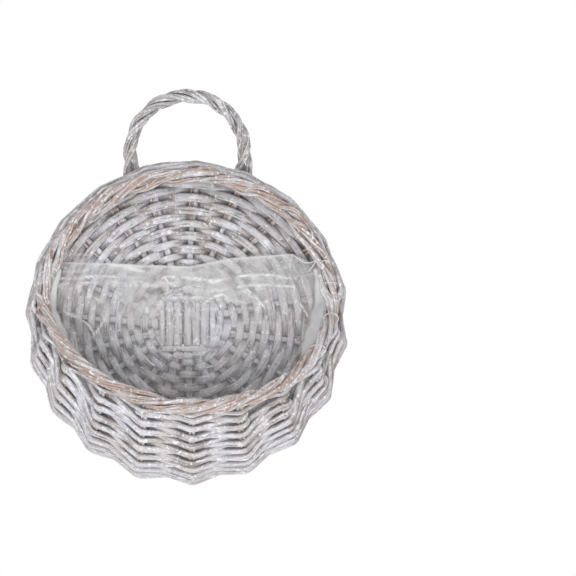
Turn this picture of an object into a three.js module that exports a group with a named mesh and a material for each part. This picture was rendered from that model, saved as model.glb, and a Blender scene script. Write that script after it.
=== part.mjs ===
// A wall basket: a round woven willow back, a woven front that swings forward into a tilted pocket,
// a roped border, a twisted bow handle to hang it by, and a clear film liner.
// Millimetres. X is to the right, Z is up, and the room is on the -Y side.
// The origin is the point under the top of the handle where a hook carries the basket.
import * as THREE from "three";

// How far two touching rods stay apart.
const clearance = 0.3;

// Back: a crowned disc woven on a cross of thick sticks.
const stakeRadius = 147.4; // from the centre of the back to the middle of a stake at the rim
const crownHeight = 6.4; // how far the middle of the back stands forward of its rim
const backWeaveInset = 11.4; // from there in to the middle of the outermost row of the back
const firstRowRadius = 48.6; // middle of the first row that takes the sticks one by one
const rowPitch = 6.3; // from one row of the back to the next
const sticksPerWay = 5;
const stickDiameter = 7.7;
const stickPitch = 8.3;
const stickTipWidth = 4.2;
const fadeRun = 15; // how far past the arms the two layers of sticks come into one plane
const bindingDiameter = 5.2;
const bindingGap = 3.45; // from the outer sticks of one layer to the middle of the binding over the other
const armRun = 3.8; // from there to where the sticks of an arm open out
const bindingCornerGap = 3.7; // from the corner of the block of sticks to the inner binding rod
const bindingOuterGap = 10.1; // and to the outer one

// Weavers, which thin towards the middle of the back.
const weaverWidth = 5.5;
const weaverThickness = 4.6;
const fineWeaverWidth = 4.8;
const fineWeaverThickness = 3.4;
const fullWeaverRadius = 80; // beyond this the weavers have their full size
const restHalfLength = 3; // half of the flat on which the rearmost rods lie against the wall
const restWear = 0.4; // how much of a rod is worn away there at most
const tipShare = 0.46; // how far a rod's free end runs on towards the next crossing
const tipRun = 7; // how far a packing rod's free end stands past a stake
const swingEase = 0.2; // how much further than it must a rod swings out round what it crosses
const solvingPasses = 8;
const backWeavers = 5;

// Stakes: pushed into the back beside the sticks, bent forward at the rim and laid down as the border.
const stakeCount = 19;
const stakeWidth = 6.2;
const stakeThickness = 5;
const stakeTipWidth = 4;
const stakeRun = 43.4; // how far in from the rim a stake's thin end lies
const scarfInset = 23.4; // and how far in a stick stops beside it
const scarfLead = 6; // over which a stick moves aside for the stake
const bendRadius = 6;
const firstStakeAngle = THREE.MathUtils.degToRad(-36.24);
const stakeCrowding = THREE.MathUtils.degToRad(3); // stakes stand closer together at the top
const stakeDrift = THREE.MathUtils.degToRad(4.5); // and lean round to one side there

// Mouth: a round upper edge and a lip that swings forward and down.
const upperEdgeDepth = 42.5;
const upperEdgeInset = 5; // how far in from the stakes' circle the middle of the border lies at the top
const lipDepth = 136;
const lipSideInset = 8.7; // and at the two sides of the lip
const lipDrop = 103; // from the hinge of the lip down to its lowest point
const lipHinge = 24; // height of the hinge over the centre of the back
const lipFullness = 2.1; // 2 is an ellipse, and more is squarer
const leftFullnessShare = 0.82; // the left side of the lip is more pointed
const hingeAngle = THREE.MathUtils.degToRad(98);
const edgeEaseAngle = THREE.MathUtils.degToRad(25);
const bulge = 6;
const risingShare = 0.45; // how far forward the front keeps straight on, as a share of its depth
const fallingShare = 0.42; // and how far behind the lip it starts to run in
const tuckShare = 0.8; // how much of the way in is left to that last stretch

// Rows of the front.
const frontPitch = 5.3; // from one row to the next
const frontWeaverWidth = 4.6;
const frontWeaverThickness = 4;
const rimRows = 2;
const lipRows = 1;
const firstRowInset = 3.6; // from the rim bend to the middle of the first row
const lastRowInset = 11.3; // from the middle of the last row to the middle of the border
const packingWeavers = 5;
const turnRiseShare = 0.4; // how far a turning rod has moved over to its next row as it leaves a stake
const turnRoom = 1.1; // between a stake and the rod that turns round it
const turnOvershootShare = 0.62; // where a turning rod starts to swing in, as a share of its way past a stake

// Border: each stake end runs on round three others as one strand of a rope.
const borderStrand = 5.3;
const borderRope = 3.45; // from the middle of the rope to the middle of a strand
const strandsInBorder = 3;
const borderEntryShare = 0.1; // where a stake has turned into the border, in stakes past its own place
const borderRunShare = 2.72; // how far a strand runs on, in stakes
const borderStepShare = 0.3;
const entryRoom = 5; // over which a stake turns from the wall into the border
const stakeStep = 12; // between bends of a stake on the front
const sampleShare = 0.05;

// Handle: three strands twisted into a bow.
const handleStrand = 5.1;
const handleRope = 3.5;
const handleRadiusShare = 0.373; // of the stakes' circle
const handleRise = 16.6; // from the top of the stakes' circle up to the centre of the bow
const handleDepth = 9.5; // from the wall to the middle of the bow
const handleTwistTurns = 8 / 3;
const handleStake = 10; // the stake on which the right foot sits astride
const handleRootInset = 4; // how far in from the stakes' circle the feet end
const handleRootSpread = 7.4; // from the middle of a leg to the strand on each side of it
const handleRootRear = 2.9; // from the wall to the strand behind
const handleRootFront = 10.4; // from the wall to the strands on the two sides
const handlePartingRise = 15; // from the end of a foot up to where its strands part
const handlePartingRun = 13; // how much further up the strands draw together
const handleStrands = 3;
const handlePieces = 40;

// Liner: a pouch of clear film that lies in the pocket.
const linerThickness = 0.6;
const linerBackHeight = 58; // upper edge of its back, over the centre of the back
const linerInset = 11.7; // from the middle of the woven front to the film
const linerRimInset = 16.4; // how far in from the stakes' circle it turns forward
const linerBackDepth = 28.5; // from the wall to the back of the film, in the middle of the back
const linerRimDepth = 20; // and at its outer edge
const linerCornerShare = 0.97; // how far its front reaches round, as a share of the way to the back's upper edge
const linerUnderEdge = 4; // from its front edge to the middle of the border
const linerColumns = 16;
const linerBackRows = 5;
const linerFrontRows = 5;

const backWeaveRadius = stakeRadius - backWeaveInset;
const stakeRoot = stakeRadius - stakeRun;
const scarfEnd = stakeRadius - scarfInset;
const upperEdgeRadius = stakeRadius - upperEdgeInset;
const lipHalfWidth = stakeRadius - lipSideInset;
const linerRadius = stakeRadius - linerRimInset;
const blockHalf = (sticksPerWay * stickPitch) / 2;
const bindingReach = blockHalf + bindingGap;
const armHalf = bindingReach + armRun;
const pairWidth = stickTipWidth + clearance + stakeTipWidth;

const TURN = 2 * Math.PI;
const rearward = new THREE.Vector3(0, 1, 0);
const outward = (angle) => new THREE.Vector3(Math.sin(angle), 0, -Math.cos(angle));
const onward = (angle) => new THREE.Vector3(Math.cos(angle), 0, Math.sin(angle));
const { lerp, smoothstep, euclideanModulo } = THREE.MathUtils;

// The angle of a stake, from straight down and positive to the right; a fraction lies between two stakes.
function stakeAngle(index) {
  const even = firstStakeAngle + (index * TURN) / stakeCount;
  return even + stakeCrowding * Math.sin(even) + (stakeDrift * (1 - Math.cos(even))) / 2;
}

// The stake, or the place between two stakes, that stands at an angle.
function indexAt(angle) {
  let index = 0;
  for (let pass = 0; pass < solvingPasses; pass += 1) {
    index += ((angle - stakeAngle(index)) * stakeCount) / TURN;
  }
  return index;
}

// A six-sided rod section with a flat towards and away from what the rod lies on.
const rodSection = new THREE.Shape([
  new THREE.Vector2(1, 0.5),
  new THREE.Vector2(0, 1),
  new THREE.Vector2(-1, 0.5),
  new THREE.Vector2(-1, -0.5),
  new THREE.Vector2(0, -1),
  new THREE.Vector2(1, -0.5),
]);

// A rod's route: stations with a place, the way its flat faces, its width and its thickness.
// At each bend the section is widened, so that the rod keeps its thickness through the mitre.
class RodRoute extends THREE.Curve {
  constructor(stations) {
    super();
    this.stations = stations;
  }

  getSpacedPoints() {
    return this.stations.map((station) => station.at);
  }

  computeFrenetFrames() {
    const frames = { tangents: [], normals: [], binormals: [] };
    const last = this.stations.length - 1;
    this.stations.forEach((station, i) => {
      const from = this.stations[Math.max(i - 1, 0)].at;
      const to = this.stations[Math.min(i + 1, last)].at;
      let arriving = station.at.clone().sub(from).normalize();
      let leaving = to.clone().sub(station.at).normalize();
      if (i === 0) arriving = leaving.clone();
      if (i === last) leaving = arriving.clone();
      const tangent = arriving.clone().add(leaving).normalize();
      const bend = leaving.clone().sub(arriving).normalize();
      const stretch = 1 / tangent.dot(leaving) - 1;
      const mitred = (v) => v.clone().addScaledVector(bend, stretch * v.dot(bend));
      const out = station.out.clone().addScaledVector(tangent, -station.out.dot(tangent)).normalize();
      const side = new THREE.Vector3().crossVectors(tangent, out);
      frames.tangents.push(tangent);
      frames.normals.push(mitred(out).multiplyScalar(station.thickness / 2));
      frames.binormals.push(mitred(side).multiplyScalar(station.width / 2));
    });
    return frames;
  }
}

const rodGeometry = (stations) =>
  new THREE.ExtrudeGeometry(rodSection, {
    steps: stations.length - 1,
    extrudePath: new RodRoute(stations),
  });

const paleWillow = { color: 0xb9b5b2, roughness: 0.85, metalness: 0 };
const barkWillow = { color: 0xb39a88, roughness: 0.8, metalness: 0 };
const clearFilm = { color: 0xe6eaec, roughness: 0.15, metalness: 0, transparent: true, opacity: 0.35 };

const basket = new THREE.Group();

function addPiece(name, geometry, finish) {
  const piece = new THREE.Mesh(geometry, new THREE.MeshStandardMaterial(finish));
  piece.name = name;
  basket.add(piece);
  return piece;
}

// How far off the middle of a carrier a weaver's middle runs where it crosses it, so that the straight
// stretches to the next crossings clear the carrier's corners.
function swing(spacing, carrierWidth, carrierThickness, rodThickness, rise = 0) {
  let reach = (carrierThickness + rodThickness) / 2;
  for (let pass = 0; pass < solvingPasses; pass += 1) {
    const lean = Math.hypot(1, (2 * reach + rise) / spacing);
    const height = carrierThickness / 2 + (rodThickness / 2 + clearance) * lean;
    reach = height / (1 - carrierWidth / (2 * spacing));
  }
  return reach + swingEase;
}

// The middle plane of the back's weave, measured from the wall: at the rim, and at the block of sticks.
const rimSpacing = (backWeaveRadius * TURN) / stakeCount;
const rimSwing = swing(rimSpacing, pairWidth, stakeThickness, weaverThickness);
const crownSlope = crownHeight / (stakeRadius - armHalf);
const rimLift = crownSlope * (stakeRadius - backWeaveRadius) + restWear / 2;
const rimMiddle = rimLift - rimSwing - weaverThickness / 2;
const blockMiddle = rimMiddle - crownHeight;

// The cross: four arms of sticks, and the spokes that they open out into, in order of angle. One stick
// stops short in the right arm, which leaves an odd number of spokes.
const shortArm = 1;
const middleStick = (sticksPerWay - 1) / 2;
const layerLift = (stickDiameter + clearance) / 2;
const arms = [0, 1, 2, 3].map((quarter) => ({
  angle: (quarter * TURN) / 4,
  layer: quarter % 2 === 0 ? -1 : 1,
  sticks: [],
}));
const spokes = [];
arms.forEach((arm, quarter) => {
  for (let j = 0; j < sticksPerWay; j += 1) {
    const offset = (j - middleStick) * stickPitch;
    const start = outward(arm.angle).multiplyScalar(armHalf).addScaledVector(onward(arm.angle), offset);
    const spoke = { start, layer: arm.layer, cutShort: quarter === shortArm && j === middleStick };
    arm.sticks.push(spoke);
    if (spoke.cutShort) continue;
    spoke.end = outward(stakeAngle(spokes.length)).multiplyScalar(stakeRadius);
    spokes.push(spoke);
  }
});

// How far along a spoke it is at a given distance from the centre of the back, as a share.
function shareAt(spoke, radius) {
  const run = spoke.end.clone().sub(spoke.start);
  const along = spoke.start.dot(run);
  const root = Math.sqrt(along ** 2 - run.lengthSq() * (spoke.start.lengthSq() - radius ** 2));
  return (root - along) / run.lengthSq();
}

// A spoke leaves the block in its own layer, comes straight into the middle plane, and then follows it.
function spokeLevel(spoke, share) {
  const joins = fadeRun / spoke.end.distanceTo(spoke.start);
  const joinLevel = lerp(blockMiddle, rimMiddle, joins);
  if (share < joins) return lerp(blockMiddle + spoke.layer * layerLift, joinLevel, share / joins);
  return lerp(joinLevel, rimMiddle, (share - joins) / (1 - joins));
}

function spokePoint(spoke, radius) {
  const share = shareAt(spoke, radius);
  return spoke.start.clone().lerp(spoke.end, share).setY(spokeLevel(spoke, share));
}

const stickWidthAt = (radius) =>
  lerp(stickDiameter, stickTipWidth, THREE.MathUtils.clamp((radius - armHalf) / (stakeRoot - armHalf), 0, 1));

// Sticks lie beside the thin ends of the stakes from the stakes' roots outwards.
function besideSpoke(spoke, radius, side) {
  const across = spoke.end.clone().sub(spoke.start).cross(rearward).normalize();
  const shift = side < 0 ? (stakeTipWidth + clearance) / 2 : (stickTipWidth + clearance) / 2;
  return spokePoint(spoke, radius).addScaledVector(across, side * shift);
}

// One half of a cross stick, from the end of its straight middle out to its tip beside a stake.
function stickHalf(spoke) {
  const level = blockMiddle + spoke.layer * layerLift;
  const places = [{ at: spoke.start.clone().setY(level), width: stickDiameter }];
  if (spoke.cutShort) return places;
  const joins = fadeRun / spoke.end.distanceTo(spoke.start);
  const fadeRadius = spoke.start.clone().lerp(spoke.end, joins).length();
  [fadeRadius, stakeRoot - scarfLead].forEach((radius) =>
    places.push({ at: spokePoint(spoke, radius), width: stickWidthAt(radius) }),
  );
  [stakeRoot, scarfEnd].forEach((radius) =>
    places.push({ at: besideSpoke(spoke, radius, -1), width: stickTipWidth }),
  );
  return places;
}

// A cross stick runs through the block from one arm to the arm across.
function addCrossSticks() {
  for (let j = 0; j < sticksPerWay; j += 1) {
    [
      ["upright", arms[0], arms[2]],
      ["level", arms[1], arms[3]],
    ].forEach(([way, near, far]) => {
      const first = stickHalf(near.sticks[j]).reverse();
      const second = stickHalf(far.sticks[sticksPerWay - 1 - j]);
      const stations = [...first, ...second].map(({ at, width }) => ({
        at,
        out: rearward,
        width,
        thickness: width,
      }));
      addPiece(`cross_stick_${way}_${j + 1}`, rodGeometry(stations), paleWillow);
    });
  }
}

// Two binding rods wind round the four arms. At each arm one passes in front while the other passes
// behind, and between the arms they change places, one outside the other.
function bindingRod(first) {
  const off = (stickDiameter + bindingDiameter) / 2 + clearance;
  const stations = [];
  arms.forEach((arm, quarter) => {
    const front = (quarter + first) % 2 === 0;
    const level = blockMiddle + arm.layer * layerLift + (front ? -off : off);
    [-blockHalf, blockHalf].forEach((across) => {
      const at = outward(arm.angle).multiplyScalar(bindingReach).addScaledVector(onward(arm.angle), across);
      stations.push(at.setY(level));
    });
    const corner = Math.SQRT2 * blockHalf + (first === 0 ? bindingOuterGap : bindingCornerGap);
    stations.push(outward(arm.angle + TURN / 8).multiplyScalar(corner).setY(blockMiddle));
  });
  stations.pop();
  return stations.map((at) => ({ at, out: rearward, width: bindingDiameter, thickness: bindingDiameter }));
}

// A rod through numbered stations, with each free end a short way on towards the next crossing.
function rodThrough(stationsAt, first, last) {
  const stations = [];
  for (let n = first; n <= last; n += 1) stations.push(...stationsAt(n));
  const towards = (from, to) => ({ ...from, at: from.at.clone().lerp(to.at, tipShare) });
  const before = stationsAt(first - 1).at(-1);
  const after = stationsAt(last + 1).at(0);
  return [towards(stations.at(0), before), ...stations, towards(stations.at(-1), after)];
}

const sideOf = (n) => (euclideanModulo(n, 2) === 0 ? -1 : 1);

// The back's weave is a spiral that crosses each spoke in front and behind by turns. With an odd number
// of spokes each turn falls opposite the turn inside it.
const lastCrossing = Math.round(((backWeaveRadius - firstRowRadius) / rowPitch) * stakeCount);

function backStations(crossing) {
  const radius = firstRowRadius + (rowPitch * crossing) / stakeCount;
  const fullness = THREE.MathUtils.clamp((radius - firstRowRadius) / (fullWeaverRadius - firstRowRadius), 0, 1);
  const thickness = lerp(fineWeaverThickness, weaverThickness, fullness);
  const width = lerp(fineWeaverWidth, weaverWidth, fullness);
  const paired = radius > stakeRoot - scarfLead;
  const [before, at, after] = [-1, 0, 1].map((step) =>
    spokePoint(spokes[euclideanModulo(crossing + step, stakeCount)], radius),
  );
  const spacing = Math.min(before.distanceTo(at), after.distanceTo(at));
  const rise = Math.max(Math.abs(before.y - at.y), Math.abs(after.y - at.y));
  const carrierWidth = paired ? pairWidth : stickWidthAt(radius);
  const carrierThickness = paired ? stakeThickness : stickWidthAt(radius);
  const off = swing(spacing, carrierWidth, carrierThickness, thickness, rise);
  const around = new THREE.Vector3().crossVectors(at.clone().setY(0), rearward).normalize();
  at.addScaledVector(rearward, sideOf(crossing) * off);
  const station = { at, out: rearward, width, thickness };
  if (crossing <= lastCrossing - stakeCount) return [station];
  return [-1, 1].map((way) => ({
    ...station,
    at: at.clone().addScaledVector(around, way * restHalfLength),
  }));
}

// The rearmost rods are worn flat where they rest on the wall.
function restOnWall(geometry) {
  const position = geometry.getAttribute("position");
  for (let i = 0; i < position.count; i += 1) {
    if (position.getY(i) > -restWear) position.setY(i, 0);
  }
  return geometry;
}

addCrossSticks();
[0, 1].forEach((first) => addPiece(`binding_rod_${first + 1}`, rodGeometry(bindingRod(first)), paleWillow));

// Each weaver of the back takes up where the one before it ends, and does as many crossings.
for (let n = 0; n < backWeavers; n += 1) {
  const [first, next] = [n, n + 1].map((step) => Math.round((lastCrossing * step) / backWeavers));
  const stations = rodThrough(backStations, first, next - 1);
  addPiece(`back_weaver_${n + 1}`, restOnWall(rodGeometry(stations)), paleWillow);
}

// The middle line of the border, at a stake or between two.
function edgePoint(index) {
  const angle = Math.atan2(Math.sin(stakeAngle(index)), Math.cos(stakeAngle(index)));
  const size = Math.abs(angle);
  const way = Math.sign(angle);
  if (size <= hingeAngle) {
    const across = Math.sin((size / hingeAngle) * (TURN / 4));
    const fullness = lipFullness * (way < 0 ? leftFullnessShare : 1);
    const fall = (1 - across ** fullness) ** (1 / fullness);
    const depth = lerp(upperEdgeDepth, lipDepth, fall);
    return new THREE.Vector3(way * lipHalfWidth * across, -depth, lipHinge - lipDrop * fall);
  }
  const hingeRadius = Math.hypot(lipHalfWidth, lipHinge);
  const hingeTurn = Math.atan2(lipHalfWidth, -lipHinge);
  const share = (size - hingeAngle) / (TURN / 2 - hingeAngle);
  const turn = lerp(hingeTurn, TURN / 2, share);
  const radius = lerp(hingeRadius, upperEdgeRadius, smoothstep(size, hingeAngle, hingeAngle + edgeEaseAngle));
  return outward(way * turn).multiplyScalar(radius).setY(-upperEdgeDepth);
}

// The line of a stake up the front: forward off the rim, out over the bulge and in to the border.
const wallStart = rimMiddle - bendRadius;
function wallLine(index) {
  const angle = stakeAngle(index);
  const foot = outward(angle).multiplyScalar(stakeRadius).setY(wallStart);
  const edge = edgePoint(index);
  const run = foot.y - edge.y;
  const inward = edge.clone().sub(foot).setY(0);
  const first = foot.clone().addScaledVector(rearward, -run * risingShare);
  first.addScaledVector(outward(angle), (bulge * run) / (lipDepth + wallStart));
  const second = edge.clone().addScaledVector(rearward, run * fallingShare).addScaledVector(inward, -tuckShare);
  return new THREE.CubicBezierCurve3(foot, first, second, edge);
}

function wallAt(index) {
  const line = wallLine(index);
  return { line, beside: [wallLine(index - 1 / 2), wallLine(index + 1 / 2)], length: line.getLength() };
}

const walls = Array.from({ length: stakeCount }, (_, index) => wallAt(index));

// A place on a stake's line up the front, with the way along the stake and the way out of the basket.
function wallPlace(index, distance) {
  const { line, beside, length } = walls[index] ?? wallAt(index);
  const share = THREE.MathUtils.clamp(distance / length, 0, 1);
  const at = line.getPointAt(share);
  const along = line.getTangentAt(share);
  const across = beside[1].getPointAt(share).sub(beside[0].getPointAt(share));
  const out = new THREE.Vector3().crossVectors(across, along).normalize();
  return { at, along, out, across: new THREE.Vector3().crossVectors(along, out) };
}

// The rows that fit on each stake between the rim and the border.
const roomFor = (index) =>
  Math.floor((walls[index].length - firstRowInset - lastRowInset) / frontPitch) + 1 - rimRows - lipRows;

// Packing rows fill the deep part of the front. A packing rod goes to and fro, and turns back round a
// stake each time, so that its rows come in pairs at each end. Stakes are counted from the lowest one.
const lowest = 2;
const stakeAt = (step) => euclideanModulo(lowest + step, stakeCount);
function reachOf(row, way) {
  let step = 0;
  while (Math.abs(step) < stakeCount / 2 - 1 && roomFor(stakeAt(step + way)) > row) step += way;
  return step;
}
const packingRowCount = 2 * Math.floor(roomFor(stakeAt(0)) / 2);
const packingRows = Array.from({ length: packingRowCount }, (_, row) => ({
  from: reachOf(row + (row % 2), -1),
  to: reachOf(row + ((row + 1) % 2), 1),
}));
const packedAt = (step) => packingRows.filter(({ from, to }) => step >= from && step <= to).length;
const rowsAt = walls.map((_, index) => {
  const step = index - lowest > stakeCount / 2 ? index - lowest - stakeCount : index - lowest;
  return rimRows + packedAt(step) + lipRows;
});

const wallSwing = walls.map((_, index) => {
  const beside = walls[(index + 1) % stakeCount].line.getPoint(1).distanceTo(walls[index].line.getPoint(1));
  return swing(Math.min(beside, rimSpacing), stakeWidth, stakeThickness, frontWeaverThickness, frontPitch);
});

// Where a row crosses a stake, counted from the rim.
function rowDistance(index, row) {
  const room = walls[index].length - firstRowInset - lastRowInset;
  return firstRowInset + (room * row) / (rowsAt[index] - 1);
}

function rowStation(index, row, side, facing = 1) {
  const { at, out } = wallPlace(index, rowDistance(index, row));
  at.addScaledVector(out, side * wallSwing[index]);
  return { at, out: out.multiplyScalar(facing), width: frontWeaverWidth, thickness: frontWeaverThickness };
}

// A full row runs round the whole front, from one side of the top round to the other.
const half = (stakeCount - 1) / 2;
function rimRow(row) {
  return rodThrough((step) => [rowStation(stakeAt(step), row, sideOf(step + row))], -half, half);
}

// The last row lies close under the border, so it follows the border's line between stakes as well.
function lipRow() {
  const between = (step) => {
    const index = stakeAt(step) + 1 / 2;
    const { at, out } = wallPlace(index, wallAt(index).length - lastRowInset);
    return { at, out, width: frontWeaverWidth, thickness: frontWeaverThickness };
  };
  return rodThrough((step) => {
    const index = stakeAt(step);
    const station = rowStation(index, rowsAt[index] - 1, sideOf(step + rowsAt[lowest]));
    return step < half ? [station, between(step)] : [station];
  }, -half, half);
}

// A place a short run to one side of a stake, as far up the front there as the given distance is here.
function placeBeyond(index, run, distance) {
  const there = index + run / rimSpacing;
  return wallPlace(there, (distance * wallAt(there).length) / walls[index].length);
}

// The turn of a packing rod round the stake at the end of a row, over to the next row.
function turnStations(index, row, side, way, facing) {
  const past = (stakeWidth + frontWeaverThickness) / 2 + turnRoom;
  const middle = (rowDistance(index, row) + rowDistance(index, row + 1)) / 2;
  const bends = [
    { run: past * turnOvershootShare, near: rowDistance(index, row), lean: side },
    { run: past, near: middle, lean: 0 },
    { run: past * turnOvershootShare, near: rowDistance(index, row + 1), lean: -side },
  ];
  return bends.map(({ run, near, lean }, n) => {
    const { at, out, across } = placeBeyond(index, way * run, lerp(near, middle, turnRiseShare));
    const facingNow = out.clone().multiplyScalar(facing * (1 - n));
    return {
      at: at.addScaledVector(out, lean * wallSwing[index]),
      out: facingNow.addScaledVector(across, way * facing * side),
      width: frontWeaverWidth,
      thickness: frontWeaverThickness,
    };
  });
}

function packingRod(firstRow, lastRow) {
  const stations = [];
  let facing = 1;
  for (let row = firstRow; row <= lastRow; row += 1) {
    const { from, to } = packingRows[row];
    const way = row % 2 === 0 ? 1 : -1;
    const [start, end] = way > 0 ? [from, to] : [to, from];
    for (let step = start; step !== end + way; step += way) {
      const side = sideOf(step + rimRows + row);
      stations.push(rowStation(stakeAt(step), rimRows + row, side, facing));
    }
    if (row === lastRow) break;
    const side = sideOf(end + rimRows + row);
    stations.push(...turnStations(stakeAt(end), rimRows + row, side, way, facing));
    facing = -facing;
  }
  const ways = [firstRow, lastRow].map((row) => (row % 2 === 0 ? 1 : -1));
  const ends = [packingRows[firstRow], packingRows[lastRow]].map(({ from, to }, n) =>
    ways[n] > 0 === (n === 0) ? from : to,
  );
  const [start, finish] = [firstRow, lastRow].map((row, n) => {
    const index = stakeAt(ends[n]);
    const run = n === 0 ? -ways[n] * tipRun : ways[n] * tipRun;
    const { at, out } = placeBeyond(index, run, rowDistance(index, rimRows + row));
    at.addScaledVector(out, sideOf(ends[n] + rimRows + row) * wallSwing[index]);
    return { ...stations.at(-n), at };
  });
  return [start, ...stations, finish];
}

// A place in the border: `turn` winds round the middle of the rope from the side of the wall.
function borderStation(index, turn) {
  const at = edgePoint(index);
  const along = edgePoint(index + sampleShare).sub(edgePoint(index - sampleShare)).normalize();
  const inner = wallLine(index).getTangent(1);
  inner.addScaledVector(along, -inner.dot(along)).normalize();
  const out = new THREE.Vector3().crossVectors(along, inner);
  at.addScaledVector(inner, -borderRope * Math.cos(turn)).addScaledVector(out, borderRope * Math.sin(turn));
  const facing = out.multiplyScalar(Math.cos(turn)).addScaledVector(inner, Math.sin(turn));
  return { at, out: facing, width: borderStrand, thickness: borderStrand };
}

// A stake from its thin end in the back, round the rim, up the front and along the border.
function stake(index) {
  const spoke = spokes[index];
  const thin = { out: rearward, width: stakeTipWidth, thickness: stakeTipWidth };
  const full = { width: stakeWidth, thickness: stakeThickness };
  const away = outward(stakeAngle(index));
  const stations = [
    { ...thin, at: besideSpoke(spoke, stakeRoot, 1) },
    { ...thin, at: besideSpoke(spoke, scarfEnd, 1) },
    { ...full, out: rearward, at: spokePoint(spoke, scarfEnd + scarfLead) },
    { ...full, out: rearward, at: spokePoint(spoke, stakeRadius - bendRadius) },
  ];
  const bend = away.clone().multiplyScalar(stakeRadius - bendRadius * (1 - Math.SQRT1_2));
  bend.setY(rimMiddle - bendRadius * (1 - Math.SQRT1_2));
  stations.push({ ...full, out: away.clone().add(rearward), at: bend });
  const { length } = walls[index];
  const top = length - borderRope - entryRoom;
  const pieces = Math.max(1, Math.round(top / stakeStep));
  for (let n = 0; n <= pieces; n += 1) {
    const { at, out } = wallPlace(index, (top * n) / pieces);
    const width = n === pieces ? borderStrand : stakeWidth;
    stations.push({ at, out, width, thickness: stakeThickness });
  }
  const borderPieces = Math.round((borderRunShare - borderEntryShare) / borderStepShare);
  for (let n = 0; n <= borderPieces; n += 1) {
    const run = lerp(borderEntryShare, borderRunShare, n / borderPieces);
    stations.push(borderStation(index + run, (run * TURN) / strandsInBorder));
  }
  return stations;
}

// A place on the middle of the bow, counted along it from one foot, and the way out of the bow there.
const handleRadius = handleRadiusShare * stakeRadius;
const handleCentre = stakeRadius + handleRise;
const handleRoot = outward(stakeAngle(handleStake)).multiplyScalar(stakeRadius - handleRootInset);
const handleRootLean = handleRadius - handleRoot.x; // the feet stand closer together than the sides of the bow
const legRun = handleCentre - handleRoot.z;
const bowRun = (TURN / 2) * handleRadius;
function bowPlace(run) {
  const turn = THREE.MathUtils.clamp((run - legRun) / handleRadius, 0, TURN / 2);
  const out = new THREE.Vector3(-Math.cos(turn), 0, Math.sin(turn));
  const leg = Math.max(legRun - run, run - legRun - bowRun, 0);
  const at = new THREE.Vector3(0, -handleDepth, handleCentre - leg).addScaledVector(out, handleRadius);
  return { at, out };
}

// One of the strands of the handle. At each foot the strands part: one goes in behind, and two beside.
function handleStrandStations(strand) {
  const whole = 2 * legRun + bowRun;
  const stations = [];
  for (let n = 0; n <= handlePieces; n += 1) {
    const run = (whole * n) / handlePieces;
    const share = THREE.MathUtils.clamp((run - handlePartingRise) / (whole - 2 * handlePartingRise), 0, 1);
    const turn = TURN * (strand / handleStrands + handleTwistTurns * share);
    const { at, out } = bowPlace(run);
    const rooted = 1 - smoothstep(Math.min(run, whole - run), 0, handlePartingRise + handlePartingRun);
    const rear = (1 + 2 * Math.cos(turn)) / 3;
    const rootRear = lerp(handleDepth - handleRootFront, handleDepth - handleRootRear, rear);
    const rootSide = (Math.sin(turn) * handleRootSpread) / Math.sin(TURN / 3);
    at.addScaledVector(rearward, lerp(handleRope * Math.cos(turn), rootRear, rooted));
    at.addScaledVector(out, lerp(handleRope * Math.sin(turn), rootSide - handleRootLean, rooted));
    const facing = rearward.clone().multiplyScalar(Math.cos(turn)).addScaledVector(out, Math.sin(turn));
    stations.push({ at, out: facing, width: handleStrand, thickness: handleStrand });
  }
  return stations;
}

// A thin sheet over a grid of places, closed along its four edges.
function sheetGeometry(places, thickness) {
  const rows = places.length;
  const columns = places[0].length;
  const spread = (row, column) => {
    const across = places[row][Math.min(column + 1, columns - 1)].clone().sub(places[row][Math.max(column - 1, 0)]);
    const along = places[Math.min(row + 1, rows - 1)][column].clone().sub(places[Math.max(row - 1, 0)][column]);
    return across.cross(along).setLength(thickness / 2);
  };
  const corners = [];
  [1, -1].forEach((face) =>
    places.forEach((line, row) =>
      line.forEach((place, column) => corners.push(place.clone().addScaledVector(spread(row, column), face))),
    ),
  );
  const corner = (face, row, column) => (face * rows + row) * columns + column;
  const faces = [];
  const quad = (a, b, c, d) => faces.push(a, b, c, a, c, d);
  for (let row = 0; row < rows - 1; row += 1) {
    for (let column = 0; column < columns - 1; column += 1) {
      const ring = (face) => [
        corner(face, row, column),
        corner(face, row, column + 1),
        corner(face, row + 1, column + 1),
        corner(face, row + 1, column),
      ];
      quad(...ring(0));
      quad(...ring(1).reverse());
    }
  }
  for (let column = 0; column < columns - 1; column += 1) {
    quad(corner(1, 0, column), corner(1, 0, column + 1), corner(0, 0, column + 1), corner(0, 0, column));
    const end = rows - 1;
    quad(corner(0, end, column), corner(0, end, column + 1), corner(1, end, column + 1), corner(1, end, column));
  }
  for (let row = 0; row < rows - 1; row += 1) {
    quad(corner(0, row, 0), corner(0, row + 1, 0), corner(1, row + 1, 0), corner(1, row, 0));
    const end = columns - 1;
    quad(corner(1, row, end), corner(1, row + 1, end), corner(0, row + 1, end), corner(0, row, end));
  }
  const geometry = new THREE.BufferGeometry().setFromPoints(corners);
  return geometry.setIndex(faces);
}

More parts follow.
